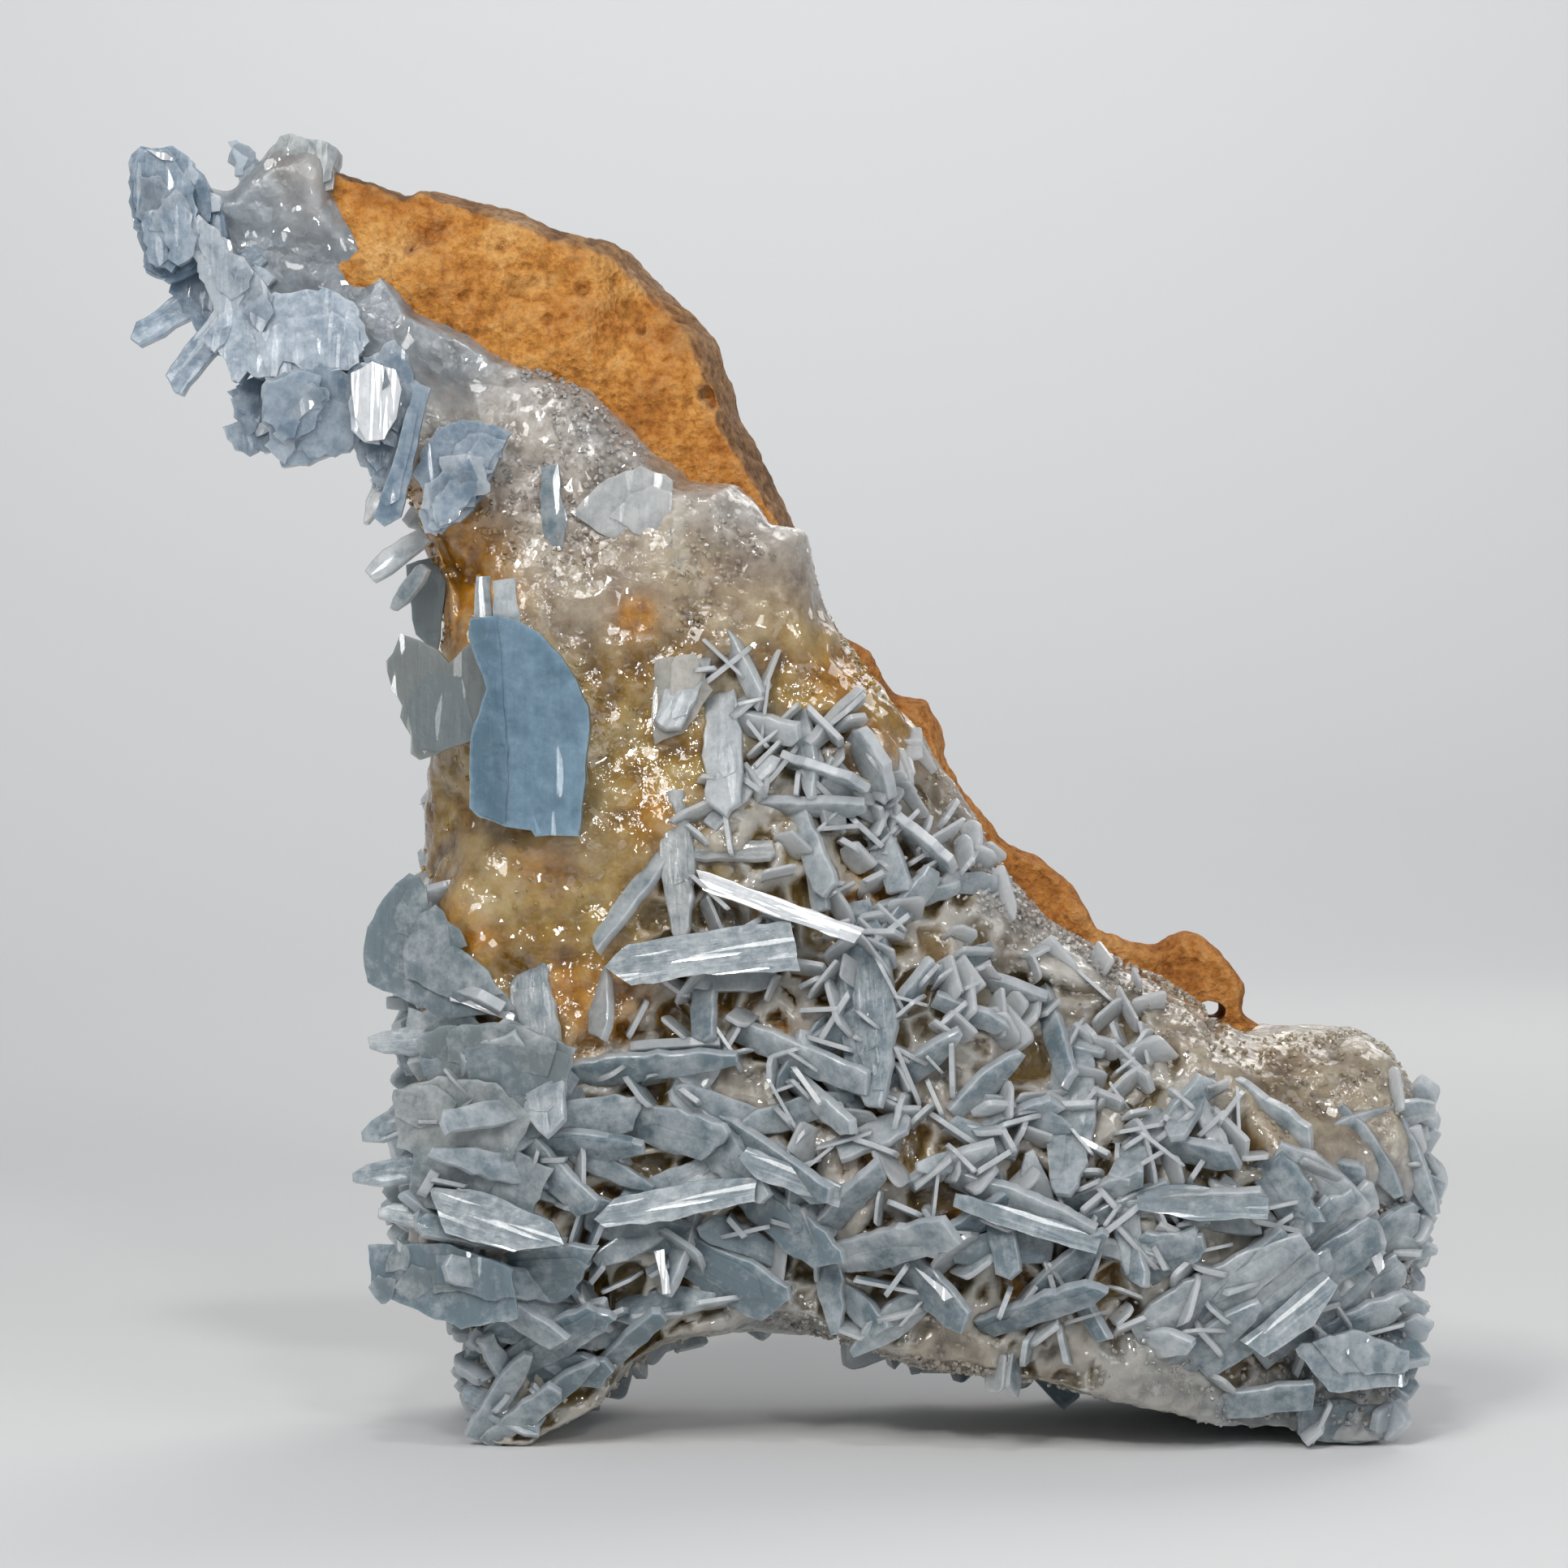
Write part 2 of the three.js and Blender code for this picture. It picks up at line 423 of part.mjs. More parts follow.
const largeBlade = crystalCluster([...largePlates.map(plate), placedBlade(crustMesh, largePrism)], massClearance);
const wing = crystalCluster(
  [...wingPlates.map(plate), ...wingBlades.map((row) => placedBlade(crustMesh, row))],
  massClearance,
);

// The crust gives way to everything else: to the gap round it, and to the thing itself where the gap closes
const crustBody = largestOf(solidOf(crustGeometry).subtract(rockClearance).subtract(ground).subtract(hole));
const smallBlades = wasm.Manifold.union([
  plate(capPlate),
  ...[...leftPlates, ...rightPlates].map(plate),
  ...[...frontBlades, ...edgeBlades].map((row) => placedBlade(crustMesh, row)),
  ...scatteredBlades(crustMesh, fillBladeCount, 5),
]);
const clusterClearances = [largeBlade, wing].map((cluster) => solidOf(grownBy(geometryOf(cluster), gap)));
const clearBlades = smallBlades.subtract(wasm.Manifold.union([rockClearance, ground, ...clusterClearances]));
const crust = largestOf(crustBody.add(clearBlades).subtract(rock).subtract(largeBlade).subtract(wing));

const specimen = new THREE.Group();
specimen.position.copy(centring);

function addPiece(name, solid, look) {
  const mesh = new THREE.Mesh(geometryOf(solid), new THREE.MeshStandardMaterial(look));
  mesh.name = name;
  specimen.add(mesh);
}

addPiece('matrix', rock, { color: 0xd98f42, roughness: 0.9, metalness: 0 });
addPiece('crust', crust, { color: 0xcdc3a8, roughness: 0.45, metalness: 0 });
addPiece('wing_blades', wing, { color: 0x9fb2ba, roughness: 0.25, metalness: 0 });
addPiece('large_blade', largeBlade, { color: 0x93aebb, roughness: 0.25, metalness: 0 });

export default specimen;
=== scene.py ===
# Barite blade specimen: the fine surface of the rock, the crust and every blade that grows on it.
# Places are drawn in millimetres, x to the right, z up and y away from the viewer, and each finished
# piece is moved into the frame, in metres, by one matrix.

import json
import math
import random

import bmesh
import bpy
import numpy as np
from mathutils import Matrix, Vector, noise
from mathutils.bvhtree import BVHTree

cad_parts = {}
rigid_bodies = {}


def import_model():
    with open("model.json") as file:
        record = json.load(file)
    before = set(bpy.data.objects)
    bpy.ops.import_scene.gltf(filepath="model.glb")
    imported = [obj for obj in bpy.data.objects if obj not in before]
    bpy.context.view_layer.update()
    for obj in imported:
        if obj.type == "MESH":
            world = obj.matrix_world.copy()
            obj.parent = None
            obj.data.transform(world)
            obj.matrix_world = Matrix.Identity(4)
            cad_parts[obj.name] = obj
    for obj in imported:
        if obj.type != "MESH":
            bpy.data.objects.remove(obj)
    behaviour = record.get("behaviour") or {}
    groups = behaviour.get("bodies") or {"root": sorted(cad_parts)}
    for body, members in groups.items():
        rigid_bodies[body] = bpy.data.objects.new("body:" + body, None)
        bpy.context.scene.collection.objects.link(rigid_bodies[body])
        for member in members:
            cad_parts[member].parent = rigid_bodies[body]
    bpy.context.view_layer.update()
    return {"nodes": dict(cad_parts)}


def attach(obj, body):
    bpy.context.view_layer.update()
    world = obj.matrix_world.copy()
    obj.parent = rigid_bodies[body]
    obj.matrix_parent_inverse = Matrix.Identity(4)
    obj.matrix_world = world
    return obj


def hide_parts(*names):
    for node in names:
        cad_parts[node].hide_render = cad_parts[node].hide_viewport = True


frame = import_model()
print("frame loaded:", sorted(frame["nodes"]))

mm = 0.001
centring = Vector((0.1, 1.1, 0.0))  # the drawn coordinates are moved by this to the specimen's middle
drawnToFrame = Matrix.Scale(mm, 4) @ Matrix.Translation(centring)
towardViewer = Vector((0, -1, 0))


# Camera, floor and light

view = {"lens": 100, "sensor": 36, "distance": 366 * mm, "aim": Vector((-0.1, 0, 54.1)) * mm, "rise": 4 * mm}
eye = view["aim"] + Vector((0, -view["distance"], view["rise"]))
studio = {
    "middle": Vector((0, 0, 0.05)), "floorHalf": 1.6, "wallHeight": 2, "sweep": 0.9,
    "paper": (0.78, 0.78, 0.77), "sky": (0.86, 0.9, 1), "skyStrength": 0.26,
    "glintSize": 0.05, "glintWatts": 0.34,
}
# Each soft lamp's place, size, watts and colour
softLamps = {
    "keyLight": ((-0.3, -0.6, 0.6), 0.3, 2.3, (1, 0.99, 0.97)),
    "fillLight": ((0.5, -0.6, 0.35), 0.4, 0.8, (0.92, 0.96, 1)),
    "rimLight": ((0.25, 0.45, 0.5), 0.4, 1.2, (1, 0.98, 0.95)),
}
# Small lamps that some of the blades' faces throw back at the viewer
glintLamps = {
    "leftGlint": Vector((-0.14, -0.42, 0.3)), "rightGlint": Vector((0.1, -0.42, 0.24)),
    "topGlint": Vector((-0.02, -0.3, 0.5)),
}
# The lamp over the wall behind the specimen, and what it shines at
backdropLamp = ((0, 0.7, 1.2), 0.9, 9, (1, 1, 1), Vector((0, 1.7, 0.8)))


# A new object in the scene
def placed(name, data):
    thing = bpy.data.objects.new(name, data)
    bpy.context.scene.collection.objects.link(thing)
    return thing


def aimAt(thing, target):
    thing.rotation_euler = (target - thing.location).to_track_quat("-Z", "Y").to_euler()


def addCamera():
    camera = placed("camera", bpy.data.cameras.new("camera"))
    camera.data.lens = view["lens"]
    camera.data.sensor_width = view["sensor"]
    camera.data.clip_start = 0.01
    camera.data.clip_end = 20
    camera.location = eye
    aimAt(camera, view["aim"])
    bpy.context.scene.camera = camera


def addLamp(name, place, size, watts, colour, target=studio["middle"]):
    lamp = bpy.data.lights.new(name, "AREA")
    lamp.shape = "DISK"
    lamp.size = size
    lamp.energy = watts
    lamp.color = colour
    holder = placed(name, lamp)
    holder.location = place
    aimAt(holder, target)


# A floor that sweeps up into a wall behind the specimen
def addFloor():
    bm = bmesh.new()
    bmesh.ops.create_grid(bm, x_segments=1, y_segments=1, size=studio["floorHalf"])
    edge = [e for e in bm.edges if all(v.co.y > 1 for v in e.verts)]
    risen = bmesh.ops.extrude_edge_only(bm, edges=edge)["geom"]
    bmesh.ops.translate(bm, vec=(0, 0, studio["wallHeight"]), verts=pointsOf(risen))
    corner = [e for e in bm.edges if all(v.co.y > 1 and v.co.z < 1 for v in e.verts)]
    cutEdges(bm, corner, studio["sweep"], 16)
    mesh = meshOfBm(bm)
    mesh.polygons.foreach_set("use_smooth", [True] * len(mesh.polygons))
    paper = Finish("floorPaper")
    paper.shade({"Base Color": studio["paper"], "Roughness": 0.9})
    mesh.materials.append(paper.material)
    placed("floor", mesh)


def addLight():
    world = bpy.data.worlds.new("studio")
    world.use_nodes = True
    world.node_tree.nodes["Background"].inputs["Color"].default_value = (*studio["sky"], 1)
    world.node_tree.nodes["Background"].inputs["Strength"].default_value = studio["skyStrength"]
    bpy.context.scene.world = world
    for name, lamp in softLamps.items():
        addLamp(name, *lamp)
    for name, place in glintLamps.items():
        addLamp(name, place, studio["glintSize"], studio["glintWatts"], (1, 1, 1))
    addLamp("backdropLight", *backdropLamp)
    bpy.context.scene.view_settings.view_transform = "Standard"


# Bmesh helpers that several pieces use

def pointsOf(geometry):
    return [g for g in geometry if isinstance(g, bmesh.types.BMVert)]


def cutEdges(bm, edges, offset, segments=1):
    bmesh.ops.bevel(
        bm, geom=edges, offset=offset, affect="EDGES", segments=segments, profile=0.5, material=-1,
    )


def meshOfBm(bm):
    mesh = bpy.data.meshes.new("grown")
    bm.to_mesh(mesh)
    bm.free()
    return mesh


# Materials. A pattern's scale is how many of its features fit in a metre.

# One material while it is made. An input is given as a number, a colour or another node's output.
class Finish:
    def __init__(self, name):
        self.material = bpy.data.materials.new(name)
        self.material.use_nodes = True
        self.tree = self.material.node_tree
        self.shader = self.tree.nodes["Principled BSDF"]
        self.place = self.node("TexCoord", "Object")

    def feed(self, node, inputs):
        for name, source in inputs.items():
            socket = node.inputs[name]
            if isinstance(source, bpy.types.NodeSocket):
                self.tree.links.new(source, socket)
            else:
                socket.default_value = (*source, 1) if socket.type == "RGBA" else source

    def shade(self, inputs):
        self.feed(self.shader, inputs)

    def node(self, kind, output=0, inputs=None, **settings):
        node = self.tree.nodes.new("ShaderNode" + kind)
        for name, value in settings.items():
            setattr(node, name, value)
        self.feed(node, inputs or {})
        return node.outputs[output]

    def attribute(self, name, output="Fac"):
        return self.node("Attribute", output, attribute_name=name)

    def noise(self, scale, detail=4, roughness=0.55, at=None):
        return self.node("TexNoise", "Fac", {
            "Vector": at or self.place, "Scale": scale, "Detail": detail, "Roughness": roughness,
        })

    def cells(self, scale, output="Distance", at=None):
        return self.node("TexVoronoi", output, {"Vector": at or self.place, "Scale": scale})

    def stretched(self, vector, scale):
        return self.node("Mapping", "Vector", {"Vector": vector, "Scale": scale})

    def ramp(self, value, stops):
        node = self.tree.nodes.new("ShaderNodeValToRGB")
        while len(node.color_ramp.elements) < len(stops):
            node.color_ramp.elements.new(0.5)
        for element, (position, colour) in zip(node.color_ramp.elements, stops):
            element.position = position
            element.color = (*colour, 1)
        self.feed(node, {"Fac": value})
        return node.outputs["Color"]

    # Grey from one level to another as a pattern goes from low to high
    def greys(self, value, low, high):
        return self.ramp(value, [(0.35, (low,) * 3), (0.7, (high,) * 3)])

    def mix(self, factor, first, second, blend="MIX"):
        inputs = {"Factor": factor, 6: first, 7: second}
        return self.node("Mix", 2, inputs, data_type="RGBA", blend_type=blend)

    def maths(self, operation, first, second, clamp=False):
        return self.node("Math", 0, {0: first, 1: second}, operation=operation, use_clamp=clamp)

    # Several values, each times its own weight, in one
    def weighed(self, *shares):
        whole = 0
        for source, weight in shares:
            whole = self.maths("ADD", whole, self.maths("MULTIPLY", source, weight))
        return whole

    def bump(self, height, strength, distance=0.4 * mm):
        return self.node("Bump", "Normal", {"Strength": strength, "Distance": distance, "Height": height})

    # Every small cell of the surface is tilted its own way, so that here and there one catches a light
    def addGlints(self, cells, tilt, weight, roughness):
        away = self.node("VectorMath", 0, {0: cells, 1: (0.5, 0.5, 0.5)}, operation="SUBTRACT")
        away = self.node("VectorMath", 0, {0: away, "Scale": tilt}, operation="SCALE")
        normal = self.node("NewGeometry", "Normal")
        normal = self.node("VectorMath", 0, {0: normal, 1: away}, operation="ADD")
        normal = self.node("VectorMath", 0, {0: normal}, operation="NORMALIZE")
        self.shade({
            "Coat Normal": normal, "Coat Weight": weight, "Coat Roughness": roughness, "Coat IOR": bariteIor,
        })

    # Ridges are painted paler, a painted highlight, and hollows darker, painted shade: the attribute is how
    # far a point stands out, -1 to 1
    def ridges(self, colour, pale, paleShare, darkShare):
        ridge = self.attribute("ridge")
        colour = self.mix(self.maths("MULTIPLY", ridge, paleShare, True), colour, pale)
        return self.mix(self.maths("MULTIPLY", ridge, -darkShare, True), colour, hollowShadeColour, "MULTIPLY")


bariteIor = 1.64
hollowShadeColour = (0.2, 0.17, 0.13)

# The colours of a cloudy pattern, from its dark to its light places, each with its position
rockColours = {
    "ochre": [(0.3, (0.32, 0.12, 0.025)), (0.44, (0.53, 0.21, 0.04)), (0.58, (0.66, 0.3, 0.065)),
              (0.72, (0.74, 0.42, 0.15))],
    "weathered": [(0.3, (0.14, 0.07, 0.03)), (0.5, (0.33, 0.19, 0.1)), (0.72, (0.5, 0.36, 0.24))],
    "flange": [(0.3, (0.38, 0.14, 0.028)), (0.5, (0.5, 0.2, 0.042)), (0.72, (0.62, 0.32, 0.11))],
    "grain": [(0.36, (0.5, 0.36, 0.2)), (0.52, (0.95, 0.9, 0.85)), (0.66, (1.15, 1.2, 1.3))],
    # pits is painted shade in small pits, and ridges the painted highlight on the rock's ridges
    "pits": (0.12, 0.05, 0.015), "ridges": (0.8, 0.5, 0.2),
}
# A noise is given by its scale, detail and roughness, and a pattern of cells by its scale
rockPatterns = {
    "patches": (150, 6, 0.62), "grain": (1500, 4, 0.75), "waves": (420, 3), "pits": 480, "knobs": 1700,
}
crustColours = {
    "white": [(0.3, (0.26, 0.21, 0.16)), (0.5, (0.385, 0.35, 0.315)), (0.7, (0.51, 0.49, 0.475))],
    "grey": [(0.3, (0.13, 0.145, 0.155)), (0.5, (0.2, 0.235, 0.26)), (0.7, (0.3, 0.345, 0.385))],
    "amber": [(0.3, (0.1, 0.042, 0.002)), (0.45, (0.26, 0.14, 0.016)), (0.58, (0.385, 0.255, 0.06)),
              (0.74, (0.48, 0.4, 0.24))],
    "shadedOlive": [(0.3, (0.16, 0.08, 0.01)), (0.45, (0.29, 0.185, 0.045)), (0.58, (0.36, 0.27, 0.13)),
              (0.74, (0.42, 0.37, 0.29))],
    "rust": [(0.3, (0.26, 0.09, 0.004)), (0.7, (0.6, 0.28, 0.02))],
    "whiteRidgeHighlight": (0.64, 0.62, 0.59), "amberRidgeHighlight": (0.5, 0.38, 0.17),
}
crustPatterns = {
    "cloud": (230, 5, 0.65), "broad": (90, 3, 0.5), "fine": (900, 4, 0.6), "waves": (480, 3, 0.6),
    "sugar": 900, "glints": 1050,
}
honeyGloss = 0.13
greyBlue, greyPale = (0.155, 0.215, 0.245), (0.64, 0.675, 0.69)
honeyColour = (0.5, 0.33, 0.13)
bladeEdgeHighlight = (0.62, 0.65, 0.68)
bladePatterns = {
    "cloud": (330, 4, 0.65), "fine": (1300, 3, 0.6), "specks": (850, 4, 0.7), "streaks": (0.14, 1.6, 1),
}


def rockMaterial():
    stone = Finish("ironStainedRock")
    patches = stone.noise(*rockPatterns["patches"])
    grain = stone.noise(*rockPatterns["grain"])
    ochre, weathered, flange = (
        stone.ramp(patches, rockColours[name]) for name in ("ochre", "weathered", "flange")
    )
    colour = stone.mix(stone.attribute("fresh"), weathered, ochre)
    colour = stone.mix(stone.attribute("flange"), colour, flange)
    # Dark spots of painted shade stand for small pits
    pits = stone.ramp(stone.cells(rockPatterns["pits"]), [(0.03, (1, 1, 1)), (0.12, (0, 0, 0))])
    colour = stone.mix(stone.maths("MULTIPLY", pits, 0.6), colour, rockColours["pits"])
    colour = stone.mix(0.75, colour, stone.ramp(grain, rockColours["grain"]), "MULTIPLY")
    height = stone.weighed(
        (stone.cells(rockPatterns["knobs"]), 0.7), (grain, 1), (stone.noise(*rockPatterns["waves"]), 1.6),
    )
    stone.shade({
        "Base Color": stone.ridges(colour, rockColours["ridges"], 0.25, 0.4),
        "Roughness": 0.85, "Specular IOR Level": 0.3, "Normal": stone.bump(height, 0.85),
    })
    return stone.material


def crustMaterial():
    sugar = Finish("bariteCrust")
    cloud = sugar.noise(*crustPatterns["cloud"])
    broad = sugar.noise(*crustPatterns["broad"])
    fine = sugar.noise(*crustPatterns["fine"])
    white, grey, amber, shadedOlive = (
        sugar.ramp(cloud, crustColours[name]) for name in ("white", "grey", "amber", "shadedOlive")
    )
    honey = sugar.maths("MULTIPLY", sugar.attribute("honey"), sugar.maths("ADD", broad, 0.6), True)
    stain = sugar.maths("MULTIPLY", sugar.attribute("stain"), sugar.maths("ADD", cloud, 0.5), True)
    colour = sugar.mix(sugar.attribute("cool"), white, grey)
    colour = sugar.mix(honey, colour, amber)
    # Deep turns the colour to a darker olive in the gaps and on the web of blades: the crust's own olive and
    # amber with painted shade
    colour = sugar.mix(sugar.attribute("deep"), colour, shadedOlive)
    colour = sugar.mix(stain, colour, sugar.ramp(fine, crustColours["rust"]))
    # The crust's ridges get a painted highlight, and its hollows painted shade
    ridgeHighlightColour = sugar.mix(honey, crustColours["whiteRidgeHighlight"], crustColours["amberRidgeHighlight"])
    height = sugar.weighed(
        (sugar.cells(crustPatterns["sugar"]), 0.6), (sugar.noise(*crustPatterns["waves"]), 1.4),
    )
    sugar.shade({
        "Base Color": sugar.ridges(colour, ridgeHighlightColour, 0.3, 0.4),
        "Roughness": sugar.mix(honey, sugar.greys(fine, 0.25, 0.55), (honeyGloss,) * 3),
        "IOR": bariteIor, "Normal": sugar.bump(height, 0.5),
        "Subsurface Weight": 0.5, "Subsurface Radius": (1.4, 1.3, 1.1), "Subsurface Scale": mm,
    })
    sugar.addGlints(sugar.cells(crustPatterns["glints"], "Color"), 0.9, 0.7, 0.07)
    return sugar.material


# A blade's tone is its paleness, how much honey it holds and a free number; along is its mm along and
# across, and streaks and the glints' cells are given per mm along and across it.
def bladeMaterial(name, blue, pale, seeThrough, edgeHighlightShare=0.3, tilt=0.5, coat=0.3, glints=(0.35, 2.4, 1)):
    barite = Finish(name)
    paleness, honey = (
        barite.node("SeparateColor", output, {"Color": barite.attribute("tone", "Color")})
        for output in ("Red", "Green")
    )
    along = barite.attribute("along", "Vector")
    streaks = barite.noise(1, 3, 0.6, barite.stretched(along, bladePatterns["streaks"]))
    cloud = barite.noise(*bladePatterns["cloud"])
    fine = barite.noise(*bladePatterns["fine"])
    specks = barite.noise(*bladePatterns["specks"])
    mottle = barite.weighed(
        (barite.maths("SUBTRACT", cloud, 0.5), 1.8), (barite.maths("SUBTRACT", specks, 0.5), 1.5),
    )
    colour = barite.mix(barite.maths("ADD", paleness, mottle, True), blue, pale)
    # The streaks darken the colour in lines along the blade: painted light and shade of its striations
    shade = barite.ramp(streaks, [(0.3, (0.86, 0.87, 0.88)), (0.7, (1.0, 1.0, 1.0))])
    colour = barite.mix(0.7, colour, shade, "MULTIPLY")
    colour = barite.mix(honey, colour, honeyColour)
    height = barite.weighed((streaks, 0.7), (fine, 0.2), (cloud, 1.4))
    barite.shade({
        # A blade's edges are painted paler, a painted highlight
        "Base Color": barite.ridges(colour, bladeEdgeHighlight, edgeHighlightShare, 0.25),
        "Roughness": barite.greys(fine, 0.32, 0.55),
        "IOR": bariteIor, "Transmission Weight": seeThrough, "Normal": barite.bump(height, 0.28),
        "Subsurface Weight": 0.85, "Subsurface Radius": (2.8, 2.9, 3), "Subsurface Scale": mm,
    })
    barite.addGlints(barite.cells(1, "Color", barite.stretched(along, glints)), tilt, coat, 0.09)
    return barite.material


addCamera()
addFloor()
addLight()
print("camera, floor and light stand")

rockFinish = rockMaterial()
crustFinish = crustMaterial()
bladeFinish = bladeMaterial("greyBlueBarite", greyBlue, greyPale, 0.15, 0.45)
wingFinish = bladeMaterial("iceBlueBarite", (0.13, 0.205, 0.28), (0.5, 0.575, 0.645), 0.15)
blueFinish = bladeMaterial("paleBlueBarite", (0.085, 0.17, 0.235), (0.22, 0.35, 0.45), 0.1, 0.1, coat=0.12)
# The bright plates' paler colour is partly a painted highlight, beside the lamps' real reflection in their
# coat
brightFinish = bladeMaterial(
    "brightBarite", (0.5, 0.54, 0.57), (0.74, 0.77, 0.8), 0.05, tilt=0.22, coat=1, glints=(0.25, 5, 1),
)
streakFinish = bladeMaterial(
    "streakedBarite", greyBlue, greyPale, 0.15, tilt=0.75, coat=0.8, glints=(0.2, 3.6, 1),
)
print("materials made")


# A finished piece stands in the frame, rides the specimen's only body and replaces nodes of the frame
def finishPiece(name, mesh, material, slot, *replaced, smooth=True):
    mesh.transform(drawnToFrame)
    mesh.materials.clear()
    mesh.materials.append(material)
    mesh.polygons.foreach_set("use_smooth", [smooth] * len(mesh.polygons))
    piece = placed(name, mesh)
    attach(piece, "root")
    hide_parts(*replaced)
    print(name, "has", sum(len(p.vertices) - 2 for p in mesh.polygons), "triangles")


# The two masses: an outline seen from the front, a front and a back surface through depth marks, edges
# drawn in towards the spine, and a lumpy skin. Depth marks are x, z and the y of the surface there, lumps
# a size and a height, pits x, z, radius and depth, and ridges how far round to look and their height.
# Sugar and glassy are the size and height of a grain, and calm is the share of both that the band behind
# the wing goes without.

crust = {
    "outline": [
        (-49.5, 104.5), (-46.5, 103.5), (-44.5, 106), (-42.5, 107.6), (-39, 107.4), (-38.5, 103),
        (-33.5, 99), (-31, 94), (-22, 90), (-16.5, 87), (-12, 82.5), (-8, 79.2), (-4, 79), (-1.5, 75.5),
        (1.5, 75), (3, 69), (5, 66), (8, 62), (10.5, 58.5), (13.5, 54.5), (16, 51), (18.5, 46.5),
        (22, 42.5), (28.5, 39), (32, 37.5), (35, 35.5), (38, 33), (48, 33.3), (50.5, 32), (52.5, 29),
        (53.5, 22), (52.7, 16), (51.5, 8.5), (50, 5), (49.2, 0.2), (44.4, 0.2), (42.5, 0.8), (35.5, 1.7),
        (30.5, 3.2), (20.5, 4.9), (10.5, 6), (2, 8.5), (-3, 9.2), (-7.5, 8.5), (-11.5, 6.5), (-15, 3.2),
        (-20.5, 0.8), (-21, 0.2), (-24.2, 0.2), (-26, 3), (-25.6, 8), (-30.5, 14.5), (-31.5, 20),
        (-30.6, 30), (-31.8, 40), (-30.4, 48), (-29.5, 58), (-28.5, 69), (-31, 77), (-34.5, 81.5),
        (-42, 86), (-45.5, 90), (-48, 94), (-49.5, 99),
    ],
    "front": [
        (-49, 102, -4), (-42, 90, -7), (-34, 82, -8.5), (-38, 99, -3.5), (-25, 93, -5), (-12, 84, -7.5),
        (0, 76, -8.5), (3, 69, -6.5), (-12, 66, -8.5), (-22, 58, -11), (-22, 47, -11.5), (-30, 53, -6.5),
        (6, 56, -9.5), (12, 55, -5.5), (-4, 45, -12.5), (10, 33, -15), (22, 42, -7.5), (-26, 21, -16),
        (-23, 3, -12), (0, 12, -14.5), (10, 21, -18), (30, 15, -17), (38, 22, -15), (47, 2, -12),
        (45, 31, -8.5), (52, 18, -9),
    ],
    "back": [
        (-49, 102, 3), (-42, 90, 5), (-20, 92, 8), (0, 76, 10), (-28, 60, 9), (-30, 30, 12), (10, 30, 17),
        (-23, 3, 14), (0, 12, 14), (30, 8, 16), (47, 3, 14), (47, 28, 11), (30, 38, 10), (12, 56, 9),
    ],
    "spine": [
        (-44, 97), (-35, 90), (-22, 82), (-14, 72), (-12, 60), (-10, 48), (-4, 36), (6, 26), (20, 20),
        (34, 18), (43, 20), (46, 9), (-18, 22), (-22, 12),
    ],
    "rounding": 0.2,
    "voxel": 0.5,
    "lumps": [(9, 0.9), (3.4, 0.32), (1.4, 0.12)],
    "sugar": (1.1, 0.3),
    "glassy": (2.2, 0.5),
    "calm": 0.85,
    "ridges": (4, 0.12),
    "seed": 21,
    "pits": [(-30.6, 68, 2.2, 4), (-27.5, 71.5, 3.4, 2.5), (-31, 64, 1.8, 3)],
}
rock = {
    "outline": [
        (-41, 104.5), (-38.6, 106.3), (-34, 104.6), (-31.7, 103.2), (-30.5, 104.5), (-24.6, 102.6),
        (-19, 100.6), (-13.3, 99.2), (-11.6, 97.2), (-7.6, 93.5), (-5.9, 90), (-4.6, 85.2), (-2.3, 81.2),
        (0.4, 77), (2, 72.5), (2, 69), (4.9, 66.5), (7.1, 65.2), (9.3, 61.9), (12.1, 61.3), (13.1, 59.5),
        (13.4, 56.5), (15.4, 53.5), (18.7, 49.5), (22.1, 47.5), (24.7, 45), (26.7, 41.2), (29.4, 40.2),
        (31.4, 39.9), (33.7, 41.2), (35.4, 41), (37.4, 39.2), (38.7, 37), (38.9, 34.5), (40.7, 33),
        (38, 28), (27, 31), (15, 37), (3, 45), (-9, 56), (-19, 68), (-27, 79), (-35, 90), (-43, 99),
    ],
    "front": [
        (-40, 102, -2), (-30, 102, -1.5), (-33, 97, -3.5), (-20, 98, -2.5), (-20, 92, -4.5), (-8, 88, -3.5),
        (-10, 96, 0), (0, 76, -3), (-30, 80, 0), (-10, 60, 0), (10, 62, 2.5), (14, 54, 2), (22, 46, 2),
        (32, 40, 2.5), (38, 36, 1.5), (10, 40, -3), (0, 24, -2), (30, 22, -2), (-20, 40, 0),
    ],
    "back": [
        (-40, 102, 5), (-30, 100, 10), (-15, 96, 15), (-8, 90, 12), (0, 76, 13), (-12, 70, 18),
        (-26, 60, 12), (12, 60, 8), (14, 54, 8), (22, 46, 8.5), (32, 40, 8), (38, 36, 7), (0, 45, 20),
        (0, 24, 16), (30, 24, 14), (-20, 35, 16),
    ],
    "spine": [
        (-37, 101), (-30, 97), (-20, 90), (-12, 80), (-5, 68), (3, 58), (12, 49), (22, 41), (30, 36),
        (35, 36),
    ],
    "rounding": 0.16,
    "voxel": 0.42,
    "lumps": [(8, 0.9), (3, 0.35)],
    "ridges": (4, 0.1),
    "flangeBelow": (74, 64),
    "seed": 3,
    "pits": [
        (-6.6, 86.7, 0.5, 1.8), (-6.2, 85.9, 0.35, 1.2), (-30.3, 99.9, 1.2, 1.6), (-31.4, 98.7, 0.5, 1.5),
        (-28.9, 100.6, 0.4, 1), (-17, 95.5, 0.6, 0.8), (-24, 99, 0.5, 0.8), (-12, 92, 0.4, 0.8),
        (-27, 95, 0.5, 0.6), (-20, 93, 0.4, 0.5),
    ],
}
